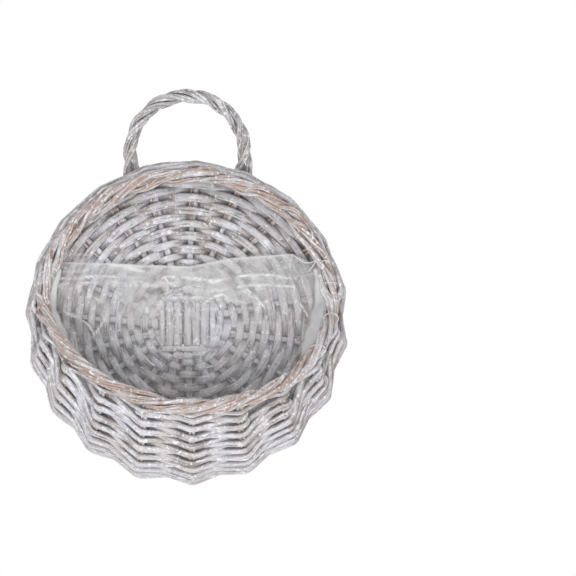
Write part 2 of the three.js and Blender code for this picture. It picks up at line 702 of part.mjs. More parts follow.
// The liner's film hangs down over the back, turns along the bottom and rises inside the front.
function linerPlaces() {
  const cornerHalf = Math.sqrt(linerRadius ** 2 - linerBackHeight ** 2);
  const cornerAngle = Math.atan2(cornerHalf, -linerBackHeight);
  const columns = Array.from({ length: linerColumns + 1 }, (_, column) => {
    const across = (2 * column) / linerColumns - 1;
    const angle = across * linerCornerShare * cornerAngle;
    const index = indexAt(angle);
    const bottom = outward(angle).multiplyScalar(linerRadius);
    const top = new THREE.Vector3(cornerHalf * Math.sin((across * TURN) / 4), 0, linerBackHeight);
    const places = [];
    for (let row = 0; row <= linerBackRows; row += 1) {
      const at = top.clone().lerp(bottom, row / linerBackRows);
      at.y = -lerp(linerBackDepth, linerRimDepth, (at.length() / linerRadius) ** 2);
      places.push(at);
    }
    const { length } = wallAt(index);
    for (let row = 1; row <= linerFrontRows; row += 1) {
      const { at, out } = wallPlace(index, ((length - linerUnderEdge) * row) / linerFrontRows);
      places.push(at.addScaledVector(out, -linerInset));
    }
    return places;
  });
  return columns[0].map((_, row) => columns.map((places) => places[row]));
}

const rowName = (name, n) => `${name}_${n + 1}`;
for (let row = 0; row < rimRows; row += 1) {
  addPiece(rowName("rim_weaver", row), rodGeometry(rimRow(row)), paleWillow);
}
for (let n = 0; n < packingWeavers; n += 1) {
  const [first, next] = [n, n + 1].map((step) => Math.round((packingRowCount * step) / packingWeavers));
  addPiece(rowName("packing_weaver", n), rodGeometry(packingRod(first, next - 1)), paleWillow);
}
addPiece("lip_weaver", rodGeometry(lipRow()), paleWillow);
for (let index = 0; index < stakeCount; index += 1) {
  addPiece(`stake_${String(index + 1).padStart(2, "0")}`, rodGeometry(stake(index)), barkWillow);
}

for (let strand = 0; strand < handleStrands; strand += 1) {
  addPiece(rowName("handle_strand", strand), rodGeometry(handleStrandStations(strand)), barkWillow);
}
addPiece("liner", sheetGeometry(linerPlaces(), linerThickness), clearFilm);

basket.position.set(0, handleDepth, -(handleCentre + handleRadius - handleRope - handleStrand / 2));

export default basket;
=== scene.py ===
import math

import bpy
import numpy as np
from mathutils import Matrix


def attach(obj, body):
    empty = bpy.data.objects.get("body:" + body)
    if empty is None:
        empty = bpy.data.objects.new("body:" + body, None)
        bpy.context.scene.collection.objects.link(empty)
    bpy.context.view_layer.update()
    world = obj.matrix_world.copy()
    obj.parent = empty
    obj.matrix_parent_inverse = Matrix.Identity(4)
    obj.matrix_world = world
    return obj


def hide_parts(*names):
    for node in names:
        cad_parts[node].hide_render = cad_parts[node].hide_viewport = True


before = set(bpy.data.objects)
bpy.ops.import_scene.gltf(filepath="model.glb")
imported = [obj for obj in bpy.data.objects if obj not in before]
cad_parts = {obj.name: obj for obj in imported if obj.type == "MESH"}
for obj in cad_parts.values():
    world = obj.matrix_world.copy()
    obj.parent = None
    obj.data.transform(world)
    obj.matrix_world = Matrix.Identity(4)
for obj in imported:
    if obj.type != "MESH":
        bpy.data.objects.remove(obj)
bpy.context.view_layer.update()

print("frame loaded,", len(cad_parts), "nodes")

# The basket's own shape, in millimetres from the middle of the back, with the wall at y = 0.
form = {
    "stakes": 19,
    "stakeRadius": 147.4,      # circle of the stakes at the rim
    "firstStake": math.radians(-36.24),
    "crowding": math.radians(3),
    "drift": math.radians(4.5),
    "rimLevel": -7.42,         # middle plane of the weave at the rim
    "crown": 6.4,              # how far the middle of the back stands forward
    "rimBend": 6,
    "edgeDepth": 42.5,         # border over the upper half
    "edgeRadius": 142.4,
    "lipDepth": 136,           # lowest point of the border
    "lipHalfWidth": 138.7,
    "lipDrop": 103,
    "lipHinge": 24,
    "lipFullness": 2.1,        # 2 is an ellipse, and more is squarer
    "leftFullnessShare": 0.82,
    "hingeAngle": math.radians(98),
    "easeAngle": math.radians(25),
    "bulge": 6,
    "origin": (0, 9.5, -212.95),   # the hook's point over the middle of the back, turned round
}
mm = 0.001
turn = 2 * math.pi
rearward = np.array([0.0, 1.0, 0.0])
blockLevel = form["rimLevel"] - form["crown"]


def mix(a, b, share):
    return a + (b - a) * share


def ease(value, low, high):  # 0 below low, 1 above high, smooth between
    share = np.clip((value - low) / (high - low), 0, 1)
    return share * share * (3 - 2 * share)


def unit(vectors):
    return vectors / np.maximum(np.linalg.norm(vectors, axis=-1, keepdims=True), 1e-9)


def dot(a, b):
    return np.sum(a * b, axis=-1, keepdims=True)


def column(values):
    return np.asarray(values, float)[..., None]


def outward(angle):  # away from the middle of the back, at an angle from straight down
    angle = np.asarray(angle, float)
    return np.stack([np.sin(angle), 0 * angle, -np.cos(angle)], axis=-1)


def onward(angle):
    angle = np.asarray(angle, float)
    return np.stack([np.cos(angle), 0 * angle, np.sin(angle)], axis=-1)


def sideOf(n):  # one side and the other by turns
    return -1 if n % 2 == 0 else 1


def stakeAngle(index):  # even steps, crowded towards the top and drifting round to one side there
    even = form["firstStake"] + np.asarray(index, float) * turn / form["stakes"]
    return even + form["crowding"] * np.sin(even) + form["drift"] * (1 - np.cos(even)) / 2


def drift(length, steps, spread, seed):  # a few random heights joined by cosine eases
    heights = np.random.default_rng(seed).normal(0, spread, steps + 2)
    at = np.linspace(0, steps, length)
    low = np.minimum(at.astype(int), steps - 1)
    share = 0.5 - 0.5 * np.cos(math.pi * (at - low))
    return mix(heights[low], heights[low + 1], share)


def curveThrough(controls, samples):
    # Quadratic B-spline: for each three controls a, b, c the piece is a parabola from the mean of a and b
    # to the mean of b and c, pulled towards b. It starts at the first control and ends at the last.
    before, after = 2 * controls[:1] - controls[1:2], 2 * controls[-1:] - controls[-2:-1]
    controls = np.concatenate([before, controls, after])
    t = np.linspace(0, 1, samples, endpoint=False)[:, None]
    a, b, c = controls[:-2, None], controls[1:-1, None], controls[2:, None]
    curve = (a + b) / 2 * (1 - t) ** 2 + 2 * b * t * (1 - t) + (b + c) / 2 * t ** 2
    return curve.reshape(-1, controls.shape[-1])


# Meshes
meshFacts = {
    "sides": 12,
    "squareness": 0.8,      # 1 leaves a rod oval, and less makes it squarer
    "ripples": [(2, 0.035, 5), (3, 0.025, 9)],   # waves round a rod, their height and how they turn
    # Painted shade on the rods: its strength at the seams to their neighbours, where it starts, and its
    # strength on the side hidden in the weave.
    "paintedSeamShade": 0.35,
    "paintedSeamShadeStart": 0.85,
    "paintedUndersideShade": 1.0,
    "uvStep": 0.37,
    "evenPoints": 40,       # points of a line for each change of the rod's width
    "limeDrift": 0.08,
    "goldenShare": 0.618034,
}


def squarer(wave):
    return np.sign(wave) * np.abs(wave) ** meshFacts["squareness"]


def rodSurface(rod):
    # A rod: round each place on its line stands an oval. It is half the width times the sine across and
    # half the thickness times the cosine outward, both raised to a power that squares it, and two small
    # ripples are added to it. Returns vertices, quads, UVs in metres along and turns round, and the
    # painted shade of each vertex: darker at the seams to its neighbours, and on the side away from its
    # lift.
    line, count, sides = rod["line"], len(rod["line"]), meshFacts["sides"]
    tangent = unit(np.gradient(line, axis=0))
    out = unit(rod["out"] - dot(rod["out"], tangent) * tangent)
    side = np.cross(tangent, out)
    angle = np.linspace(0, turn, sides, endpoint=False)
    ridges = 1
    for waves, height, shift in meshFacts["ripples"]:
        ridges = ridges + height * np.sin(waves * angle + shift * rod["seed"])
    across = (squarer(np.sin(angle)) * ridges)[None, :, None] * side[:, None]
    along = (squarer(np.cos(angle)) * ridges)[None, :, None] * out[:, None]
    ring = line[:, None] + across * (rod["width"] / 2)[:, None, None]
    ring = ring + along * (rod["thick"] / 2)[:, None, None]
    # Painted shade: the seams to the neighbouring rods and the side pressed into the weave are darkened.
    paintedSeamShade = meshFacts["paintedSeamShade"] * ease(np.abs(np.sin(angle)), meshFacts["paintedSeamShadeStart"], 1)[None, :]
    paintedHiddenShade = np.clip(-rod["lift"][:, None] * np.cos(angle)[None, :], 0, 1) ** 2
    shade = np.maximum(paintedSeamShade, meshFacts["paintedUndersideShade"] * paintedHiddenShade)
    length = np.concatenate([[0], np.cumsum(np.linalg.norm(np.diff(line, axis=0), axis=1))])
    i, k = np.meshgrid(np.arange(count - 1), np.arange(sides), indexing="ij")
    here, beside = i * sides + k, i * sides + (k + 1) % sides
    quads = np.stack([here, beside, beside + sides, here + sides], axis=-1)
    u = np.stack([length[i], length[i], length[i + 1], length[i + 1]], axis=-1) * mm
    u = u + meshFacts["uvStep"] * rod["seed"]
    v = np.stack([k, k + 1, k + 1, k], axis=-1) / sides
    return ring, quads.reshape(-1, 4), np.stack([u, v], axis=-1).reshape(-1, 2), shade


def addMesh(name, points, quads, uvs, values, material, caps=()):
    # Puts arrays into one mesh: quads and end caps, UVs per corner, and float attributes per point.
    mesh = bpy.data.meshes.new(name)
    corners = np.concatenate([quads.reshape(-1)] + [np.asarray(cap) for cap in caps]).astype(np.int32)
    totals = np.concatenate([np.full(len(quads), 4), [len(cap) for cap in caps]]).astype(np.int32)
    starts = np.concatenate([[0], np.cumsum(totals)[:-1]]).astype(np.int32)
    mesh.vertices.add(len(points))
    places = (points + np.array(form["origin"])) * mm
    mesh.vertices.foreach_set("co", places.astype(np.float32).ravel())
    mesh.loops.add(len(corners))
    mesh.loops.foreach_set("vertex_index", corners)
    mesh.polygons.add(len(totals))
    mesh.polygons.foreach_set("loop_start", starts)
    mesh.polygons.foreach_set("loop_total", totals)
    smooth = np.concatenate([np.ones(len(quads), bool), np.zeros(len(caps), bool)])
    mesh.polygons.foreach_set("use_smooth", smooth)
    layer = mesh.uv_layers.new(name="along")
    capUv = [np.tile([[0.5 * n, 0.5]], (len(cap), 1)) for n, cap in enumerate(caps)]
    layer.data.foreach_set("uv", np.concatenate([uvs] + capUv).astype(np.float32).ravel())
    for key, data in values.items():
        attribute = mesh.attributes.new(key, "FLOAT", "POINT")
        attribute.data.foreach_set("value", data.astype(np.float32).ravel())
    mesh.update()
    mesh.validate()
    mesh.materials.append(material)
    piece = bpy.data.objects.new(name, mesh)
    bpy.context.collection.objects.link(piece)
    return piece


def addRods(name, rods, node, finish):
    # Joins several rods into the one piece that stands for a CAD node. No vertex goes into the wall.
    material, slot = finish
    parts, caps, start = [], [], 0
    for rod in rods:
        ring, quads, uvs, shade = rodSurface(rod)
        count, sides = ring.shape[:2]
        points, cap = ring.reshape(-1, 3), np.arange(sides)
        points[:, 1] = np.minimum(points[:, 1], 0)
        lime, tint = np.repeat(rod["lime"], sides), np.full(len(points), rod["tint"])
        parts.append((points, quads + start, uvs, lime, tint, shade.reshape(-1)))
        caps += [cap[::-1] + start, cap + start + (count - 1) * sides]
        start += len(points)
    points, quads, uvs, lime, tint, shade = (np.concatenate(arrays) for arrays in zip(*parts))
    values = {"lime": lime, "tint": tint, "shade": shade}
    piece = addMesh(name, points, quads, uvs, values, material, caps)
    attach(piece, "root")
    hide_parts(node)
    return piece


def makeRod(line, out, width, thick, lime, seed, uneven, lift=0.0):
    # What rodSurface needs of one rod. Its width, thickness and lime drift along it by its own seed.
    count = len(line)
    pieces = max(3, count // meshFacts["evenPoints"])
    swell = 1 + drift(count, pieces, uneven, seed)
    return {
        "line": line,
        "out": np.broadcast_to(out, line.shape),
        "width": width * swell,
        "thick": thick * swell * (1 + drift(count, pieces, uneven / 2, seed + 3)),
        "lime": np.clip(lime + drift(count, pieces, meshFacts["limeDrift"], seed + 7), 0, 1),
        "lift": np.broadcast_to(lift, count),
        "tint": np.random.default_rng(seed).random(),
        "seed": (seed * meshFacts["goldenShare"]) % 1,
    }


# Materials
def inGroup(name, inputs, outputs):
    group = bpy.data.node_groups.new(name, "ShaderNodeTree")
    for way, sockets in (("INPUT", inputs), ("OUTPUT", outputs)):
        for label, kind in sockets:
            group.interface.new_socket(label, in_out=way, socket_type=kind)
    return group, group.nodes.new("NodeGroupInput"), group.nodes.new("NodeGroupOutput")


def addNode(tree, kind, links=None, **settings):
    node = tree.nodes.new(kind)
    for key, value in settings.items():
        setattr(node, key, value)
    for key, value in (links or {}).items():
        if isinstance(value, bpy.types.NodeSocket):
            tree.links.new(value, node.inputs[key])
        else:
            node.inputs[key].default_value = value
    return node


def calc(tree, operation, *values):
    return addNode(tree, "ShaderNodeMath", dict(enumerate(values)), operation=operation).outputs[0]


def noise(tree, vector, scale, detail, roughness):
    return addNode(tree, "ShaderNodeTexNoise", {"Vector": vector, "Scale": scale, "Detail": detail,
                                                "Roughness": roughness}).outputs["Fac"]


def ramp(tree, value, low, high):
    return addNode(tree, "ShaderNodeMapRange", {"Value": value, "From Min": low, "From Max": high},
                   interpolation_type="SMOOTHSTEP").outputs["Result"]


def blend(tree, share, a, b, kind="MIX"):
    # Set to colours, a mix node takes its share in socket 0 and the two colours in sockets 6 and 7.
    node = addNode(tree, "ShaderNodeMix", {0: share, 6: a, 7: b}, data_type="RGBA", blend_type=kind)
    return node.outputs[2]


def total(tree, *terms):
    # Adds sockets up. A term is a socket, or a socket and its weight. With a third value it counts as its
    # distance from that value times the weight.
    found = None
    for term in terms:
        if isinstance(term, tuple):
            value, weight, *centre = term
            if centre:
                value = calc(tree, "SUBTRACT", value, centre[0])
            term = calc(tree, "MULTIPLY", value, weight)
        found = term if found is None else calc(tree, "ADD", found, term)
    return found


def scaled(tree, vector, scale):
    return addNode(tree, "ShaderNodeMapping", {"Vector": vector, "Scale": scale}).outputs[0]


def attribute(tree, name):
    return addNode(tree, "ShaderNodeAttribute", attribute_name=name).outputs["Fac"]


def addBump(tree, shader, height, strength, distance):
    bump = addNode(tree, "ShaderNodeBump", {"Height": height, "Strength": strength, "Distance": distance})
    tree.links.new(bump.outputs[0], shader.inputs["Normal"])


def startMaterial(name):
    material = bpy.data.materials.new(name)
    material.use_nodes = True
    return material, material.node_tree, material.node_tree.nodes["Principled BSDF"]


limed = {
    "noises": {                    # waves a metre along and round the rod, or in every direction,
        "streak": ((34, 9, 1), 3.0, 0.6),        # then detail and roughness
        "grain": ((75, 24, 1), 2.0, 0.5),
        "daub": ((75, 2.4, 1), 2.0, 0.6),
        "blot": (95.0, 3.0, 0.6),
        "grit": (420.0, 2.0, 0.6),
        "speck": (290.0, 2.0, 0.5),
        "patch": (22.0, 2.0, 0.5),
        "thicket": (45.0, 2.0, 0.5),
    },
    "barkSteps": (0.35, 0.65),
    "barkShare": 0.35,             # how much darker the darkest rod is
    "limeWeight": 0.55,
    "blotWeight": 1.5,
    "streakWeight": 1.9,
    "gritWeight": 0.4,
    "coverSteps": (0.28, 0.88),
    "warm": (0.90, 0.87, 0.84, 1),
    "cool": (0.99, 1.0, 1.05, 1),
    "patchSteps": (0.38, 0.62),
    "grain": (0.78, 0.78, 0.79, 1),
    "grainSteps": (0.3, 0.7),
    "daub": (0.93, 0.93, 0.97, 1),
    "daubSteps": (0.80, 0.90),
    "daubBlotWeight": 0.4,
    "daubLeast": 0.1,              # of its share where no lime is
    "speck": (0.92, 0.92, 0.95, 1),
    "speckSteps": (0.615, 0.675),
    "speckShare": 0.85,
    "speckLimeWeight": 0.05,
    "thicketWeight": 0.25,
    "crack": (0.13, 0.11, 0.10, 1),
    "crackSteps": (0.66, 0.55),
    "crackShare": 0.5,
    "crackStreakWeight": 0.5,
    # Painted shade: the colour multiplied in at the seams between rods and on their hidden sides, and how
    # much of it.
    "paintedSeamShade": (0.33, 0.305, 0.295, 1),
    "paintedSeamShadeShare": 0.9,
    "roughness": (0.55, 0.85),     # of bare wood and of wash
    "heights": (0.4, 0.5, 0.5, -0.5),            # of wash, grain, thick lime and cracks
    "bumpDistance": 0.0006,
    "specular": 0.3,
}
noiseMiddle = 0.5


def makeLimedGroup():
    # Lime wash over willow: long streaks on the rod's own UVs, wash worn off in blots, daubs and specks
    # where the lime stands thick, dark cracks along the grain, and painted shade in the seams between
    # rods and on their hidden sides.
    vector, number, tone = "NodeSocketVector", "NodeSocketFloat", "NodeSocketColor"
    inputs = [("Along", vector), ("Place", vector), ("Lime", number), ("Tint", number), ("Shade", number),
              ("Wood", tone), ("Bark", tone), ("Wash", tone), ("Cover", number)]
    outputs = [("Color", tone), ("Roughness", number), ("Height", number)]
    group, into, outOf = inGroup("limedWillow", inputs, outputs)
    along, place, lime, tint, shade, wood, bark, wash, least = (
        into.outputs[label] for label, _ in inputs)
    streak, grain, daub, blot, grit, speck, patch, thicket = (
        noise(group, scaled(group, along, scale), 1.0, *fineness) if isinstance(scale, tuple)
        else noise(group, place, scale, *fineness) for scale, *fineness in limed["noises"].values())

    bare = blend(group, ramp(group, streak, *limed["barkSteps"]), bark, wood)
    bare = blend(group, calc(group, "MULTIPLY", tint, limed["barkShare"]), bare, bark)
    cover = total(group, (lime, limed["limeWeight"]), least, (blot, limed["blotWeight"], noiseMiddle),
                  (streak, limed["streakWeight"], noiseMiddle), (grit, limed["gritWeight"], noiseMiddle))
    covered = ramp(group, cover, *limed["coverSteps"])
    warmth = blend(group, ramp(group, patch, *limed["patchSteps"]), limed["warm"], limed["cool"])
    grained = blend(group, ramp(group, grain, *limed["grainSteps"]), limed["grain"], warmth)
    color = blend(group, covered, bare, blend(group, 1.0, wash, grained, "MULTIPLY"))

    daub = ramp(group, total(group, daub, (blot, limed["daubBlotWeight"])), *limed["daubSteps"])
    daub = calc(group, "MULTIPLY", daub, calc(group, "ADD", lime, limed["daubLeast"]))
    color = blend(group, daub, color, limed["daub"])
    thickLime = total(group, speck, (lime, limed["speckLimeWeight"]),
                      (thicket, limed["thicketWeight"], noiseMiddle))
    thickLime = ramp(group, thickLime, *limed["speckSteps"])
    crack = total(group, grain, (streak, limed["crackStreakWeight"]))
    crack = ramp(group, crack, *limed["crackSteps"])
    for mask, key in ((thickLime, "speck"), (crack, "crack")):
        color = blend(group, calc(group, "MULTIPLY", mask, limed[key + "Share"]), color, limed[key])
    # Painted shade: the shade attribute darkens the colour at the seams between rods and on the sides
    # hidden in the weave.
    shaded = blend(group, 1.0, color, limed["paintedSeamShade"], "MULTIPLY")
    shade = calc(group, "MULTIPLY", shade, limed["paintedSeamShadeShare"])
    group.links.new(blend(group, shade, color, shaded), outOf.inputs["Color"])

    height = total(group, *zip((covered, grain, thickLime, crack), limed["heights"]))
    group.links.new(height, outOf.inputs["Height"])
    smooth, chalky = limed["roughness"]
    rough = addNode(group, "ShaderNodeMapRange", {"Value": covered, "To Min": smooth, "To Max": chalky})
    group.links.new(rough.outputs["Result"], outOf.inputs["Roughness"])
    return group


limedGroup = makeLimedGroup()
willowLooks = {
    "peeledWillow": {
        "wood": (0.50, 0.455, 0.43, 1),
        "bark": (0.35, 0.30, 0.275, 1),
        "wash": (0.78, 0.77, 0.795, 1),
        "cover": 0.42,
        "bump": 0.4,
        "slot": "whitened_willow",
    },
    "barkWillow": {
        "wood": (0.64, 0.48, 0.41, 1),
        "bark": (0.36, 0.26, 0.22, 1),
        "wash": (0.77, 0.74, 0.74, 1),
        "cover": 0.34,
        "bump": 0.4,
        "slot": "brown_willow",
    },
    "handleWillow": {
        "wood": (0.47, 0.43, 0.405, 1),
        "bark": (0.27, 0.24, 0.22, 1),
        "wash": (0.74, 0.73, 0.745, 1),
        "cover": 0.2,
        "bump": 0.5,
        "slot": "brown_willow",
    },
}


def makeWillow(name, look):
    material, tree, shader = startMaterial(name)
    inputs = {key.capitalize(): attribute(tree, key) for key in ("lime", "tint", "shade")}
    inputs |= {key.capitalize(): look[key] for key in ("wood", "bark", "wash", "cover")}
    inputs["Along"] = addNode(tree, "ShaderNodeUVMap", uv_map="along").outputs[0]
    inputs["Place"] = addNode(tree, "ShaderNodeTexCoord").outputs["Object"]
    mixed = addNode(tree, "ShaderNodeGroup", inputs, node_tree=limedGroup).outputs
    tree.links.new(mixed["Color"], shader.inputs["Base Color"])
    tree.links.new(mixed["Roughness"], shader.inputs["Roughness"])
    addBump(tree, shader, mixed["Height"], look["bump"], limed["bumpDistance"])
    shader.inputs["Specular IOR Level"].default_value = limed["specular"]
    return material


willow = {name: (makeWillow(name, look), look["slot"]) for name, look in willowLooks.items()}
print("willow materials made")

# The back
back = {
    "sticksPerWay": 5,
    "shortStick": (1, 2),  # this half stick is cut short, which leaves an odd number of spokes
    "stickPitch": 8.3,
    "stickWidth": 8.0,
    "stickTip": 4.4,
    "stickThickShare": 0.97,
    "stickPoints": 7,
    "stickRun": (44.0, 98.0),      # radii where a stick's free run starts and ends
    "asideStart": 96.0,            # from here a stick makes way for its stake
    "stakeRoot": 104.0,
    "scarfStart": 108.0,
    "scarfEnd": 124.0,
    "scarfAside": 2.2,
    "armHalf": 28.0,
    "fade": 15.0,                  # over this length a spoke leaves its layer for the middle plane
    "sway": 0.25,
    "swaySteps": 8,
    "swaySeeds": (0, 50, 90),
    "lime": 0.75,
    "uneven": 0.03,
    "seed": 40,
    "samples": 10,
}


def stickOffset(j):
    return (j - (back["sticksPerWay"] - 1) / 2) * back["stickPitch"]


def armPlace(quarter, reach, aside, level=0.0):
    # A place on one of the four arms of the cross: so far out, so far aside of its middle, at a level.
    place = outward(quarter * turn / 4) * reach + onward(quarter * turn / 4) * aside
    place[1] = level
    return place


def makeSpokes():
    # Every spoke runs straight from its stick's place on an arm to its own place on the stakes' circle.
    owners = [(quarter, j) for quarter in range(4) for j in range(back["sticksPerWay"])
              if (quarter, j) != back["shortStick"]]
    starts = np.array([armPlace(quarter, back["armHalf"], stickOffset(j)) for quarter, j in owners])
    layers = np.array([sideOf(quarter) for quarter, _ in owners], float)
    ends = outward(stakeAngle(np.arange(form["stakes"]))) * form["stakeRadius"]
    return starts, ends, layers, owners


spokeStart, spokeEnd, spokeLayer, spokeOwner = makeSpokes()


def spokePoint(index, radius):
    # The place on a spoke at a radius: the line's crossing with the circle, and the level that falls
    # straight from the stick's own layer into the crowned middle plane.
    index = np.mod(index, form["stakes"])
    start, run = spokeStart[index], spokeEnd[index] - spokeStart[index]
    along, square = np.sum(start * run, -1), np.sum(run * run, -1)
    share = (np.sqrt(along ** 2 - square * (np.sum(start * start, -1) - radius ** 2)) - along) / square
    joins = back["fade"] / np.sqrt(square)
    layerLevel = blockLevel + spokeLayer[index] * (back["stickWidth"] / 2)
    joinLevel = mix(blockLevel, form["rimLevel"], joins)
    inner = mix(layerLevel, joinLevel, share / joins)
    outer = mix(joinLevel, form["rimLevel"], (share - joins) / (1 - joins))
    point = start + run * column(share)
    point[..., 1] = np.where(share < joins, inner, outer)
    return point


def stickWidthAt(radius):
    share = np.clip((radius - back["armHalf"]) / (back["stakeRoot"] - back["armHalf"]), 0, 1)
    return mix(back["stickWidth"], back["stickTip"], share)


def stickHalf(quarter, j):
    # Controls of one half of a stick, from the block out to its tip beside a stake, and the widths there.
    level = blockLevel + sideOf(quarter) * back["stickWidth"] / 2
    start = armPlace(quarter, back["armHalf"], stickOffset(j), level)
    if (quarter, j) not in spokeOwner:
        return start[None], np.array([back["stickWidth"]])
    index = spokeOwner.index((quarter, j))
    onWay = np.linspace(*back["stickRun"], back["stickPoints"])
    radii = np.append(onWay, [back["scarfStart"], back["scarfEnd"]])
    points = spokePoint(np.full(len(radii), index), radii)
    across = unit(np.cross(spokeEnd[index] - spokeStart[index], rearward))
    aside = back["scarfAside"] * ease(radii, back["asideStart"], back["scarfStart"])
    widths = np.append([back["stickWidth"]], stickWidthAt(radii))
    return np.concatenate([start[None], points - across * column(aside)]), widths


def buildCross():
    # A stick's line sways a little in all three directions.
    for j in range(back["sticksPerWay"]):
        for way, near in (("upright", 0), ("level", 1)):
            first, firstWidth = stickHalf(near, j)
            second, secondWidth = stickHalf(near + 2, back["sticksPerWay"] - 1 - j)
            controls = np.concatenate([first[::-1], second])
            widths = np.concatenate([firstWidth[::-1], secondWidth])
            dense = curveThrough(np.column_stack([controls, widths]), back["samples"])
            seed = back["seed"] + 2 * j + near
            sway = [drift(len(dense), back["swaySteps"], back["sway"], seed + more)
                    for more in back["swaySeeds"]]
            width = dense[:, 3]
            rod = makeRod(dense[:, :3] + np.stack(sway, axis=-1), rearward, width,
                          width * back["stickThickShare"], back["lime"], seed, back["uneven"])
            addRods(f"{way}Stick{j + 1}", [rod], f"cross_stick_{way}_{j + 1}", willow["peeledWillow"])


binding = {
    "width": 5.6,
    "thick": 4.8,
    "reach": 24.2,
    "inset": 1.0,
    "shares": (-1, -0.55, 0, 0.55, 1),   # where its line is set across an arm
    "corners": (38.4, 32.0),             # radii of the first and the second rod between the arms
    "lime": 0.85,
    "uneven": 0.03,
    "seed": 60,
    "samples": 8,
}


def buildBinding():
    # Each binding rod goes round the four arms, in front of one and behind the next.
    half = back["sticksPerWay"] * back["stickPitch"] / 2 - binding["inset"]
    off = (back["stickWidth"] + binding["thick"]) / 2
    for first, cornerRadius in enumerate(binding["corners"]):
        controls = []
        for quarter in range(4):
            level = blockLevel + sideOf(quarter) * back["stickWidth"] / 2 + sideOf(quarter + first) * off
            controls += [armPlace(quarter, binding["reach"], half * share, level)
                         for share in binding["shares"]]
            controls.append(armPlace(quarter + 0.5, cornerRadius, 0, blockLevel))
        line = curveThrough(np.array(controls[:-1]), binding["samples"])
        rod = makeRod(line, rearward, binding["width"], binding["thick"], binding["lime"],
                      binding["seed"] + first, binding["uneven"])
        addRods(f"binding{first + 1}", [rod], f"binding_rod_{first + 1}", willow["peeledWillow"])


spiral = {
    "weavers": 5,
    "firstRow": 48.6,
    "lastRow": 140.5,
    "rowPitch": 6.3,
    "innermost": 30.5,     # the first turn is wound tight round the binding
    "outermost": 142.6,    # and the last runs on a little at its widest
    "runOn": 14,           # in spokes
    "endLap": 0.6,         # how far each weaver goes past its first and last spoke, in spokes
    "width": 7.7,
    "thick": 4.9,
    "fineWidth": 7.2,      # at the first row, from which the rods widen out to the full radius
    "fineThick": 3.9,
    "fullRadius": 80.0,
    "stakeWidth": 5.0,
    "crossingGap": 0.1,
    "heldShare": 0.36,     # of the carrier's width
    "heldLimits": (0.05, 0.3),
    "sineShare": 0.5,
    "limes": (0.35, 0.9),  # between the spokes and on them
    "drifts": [(0.5, 100), (0.35, 110)],         # outward and rearward, with their seeds
    "driftSteps": 90,
    "uneven": 0.08,
    "seed": 120,
    "samples": 16,
}


def backLine(crossing):
    # The spiral of the back: the radius grows by one pitch a turn, the angle runs evenly from spoke to
    # spoke, and the level is in front at each even crossing and behind at each odd one. It holds across
    # the spoke's width and swings in between, half as a straight line and half as the sine of that line.
    radius = spiral["firstRow"] + spiral["rowPitch"] * crossing / form["stakes"]
    radius = np.clip(radius, spiral["innermost"], spiral["outermost"])
    low = np.floor(crossing).astype(int)
    share = crossing - low
    near, far = spokePoint(low, radius), spokePoint(low + 1, radius)
    nearAngle, farAngle = np.arctan2(near[:, 0], -near[:, 2]), np.arctan2(far[:, 0], -far[:, 2])
    step = np.mod(farAngle - nearAngle + turn / 2, turn) - turn / 2
    fullness = np.clip((radius - spiral["firstRow"]) / (spiral["fullRadius"] - spiral["firstRow"]), 0, 1)
    width = mix(spiral["fineWidth"], spiral["width"], fullness)
    thick = mix(spiral["fineThick"], spiral["thick"], fullness)
    carrier = np.where(radius < back["stakeRoot"], stickWidthAt(radius), spiral["stakeWidth"])
    reach = (carrier + thick) / 2 + spiral["crossingGap"]
    bay = radius * turn / form["stakes"]
    nearest = np.round(crossing)
    held = np.clip(spiral["heldShare"] * carrier / bay, *spiral["heldLimits"])
    wave = np.clip((0.5 - np.abs(crossing - nearest)) / (0.5 - held), 0, 1)
    wave = wave * np.where(nearest % 2 == 0, 1, -1)
    wave = mix(wave, np.sin(turn / 4 * wave), spiral["sineShare"])
    line = outward(nearAngle + step * share) * column(radius)
    line[:, 1] = mix(near[:, 1], far[:, 1], ease(share, 0, 1)) - wave * reach
    return line, width, thick, mix(*spiral["limes"], np.abs(wave)), -wave


def buildBackWeavers():
    # Each weaver ends just past a spoke, where the next one starts, and sways outward and rearward.
    last = round((spiral["lastRow"] - spiral["firstRow"]) / spiral["rowPitch"] * form["stakes"])
    inner = round(((spiral["innermost"] - spiral["firstRow"]) / spiral["rowPitch"] - 1) * form["stakes"])
    joins = [round(last * n / spiral["weavers"]) for n in range(1, spiral["weavers"])]
    firsts, finals = [inner] + joins, [join - 1 for join in joins] + [last + spiral["runOn"]]
    for n, (first, final) in enumerate(zip(firsts, finals)):
        first, final = first - spiral["endLap"], final + spiral["endLap"]
        crossing = np.linspace(first, final, int((final - first) * spiral["samples"]))
        line, width, thick, lime, lift = backLine(crossing)
        sway, rise = (drift(len(line), spiral["driftSteps"], spread, seed + n)
                      for spread, seed in spiral["drifts"])
        line = line + unit(line * [1, 0, 1]) * column(sway) + rearward * column(rise)
        seed = spiral["seed"] + n
        rod = makeRod(line, rearward, width, thick, lime, seed, spiral["uneven"], lift)
        addRods(f"backWeaver{n + 1}", [rod], f"back_weaver_{n + 1}", willow["peeledWillow"])


buildCross()
buildBinding()
buildBackWeavers()
print("back woven")

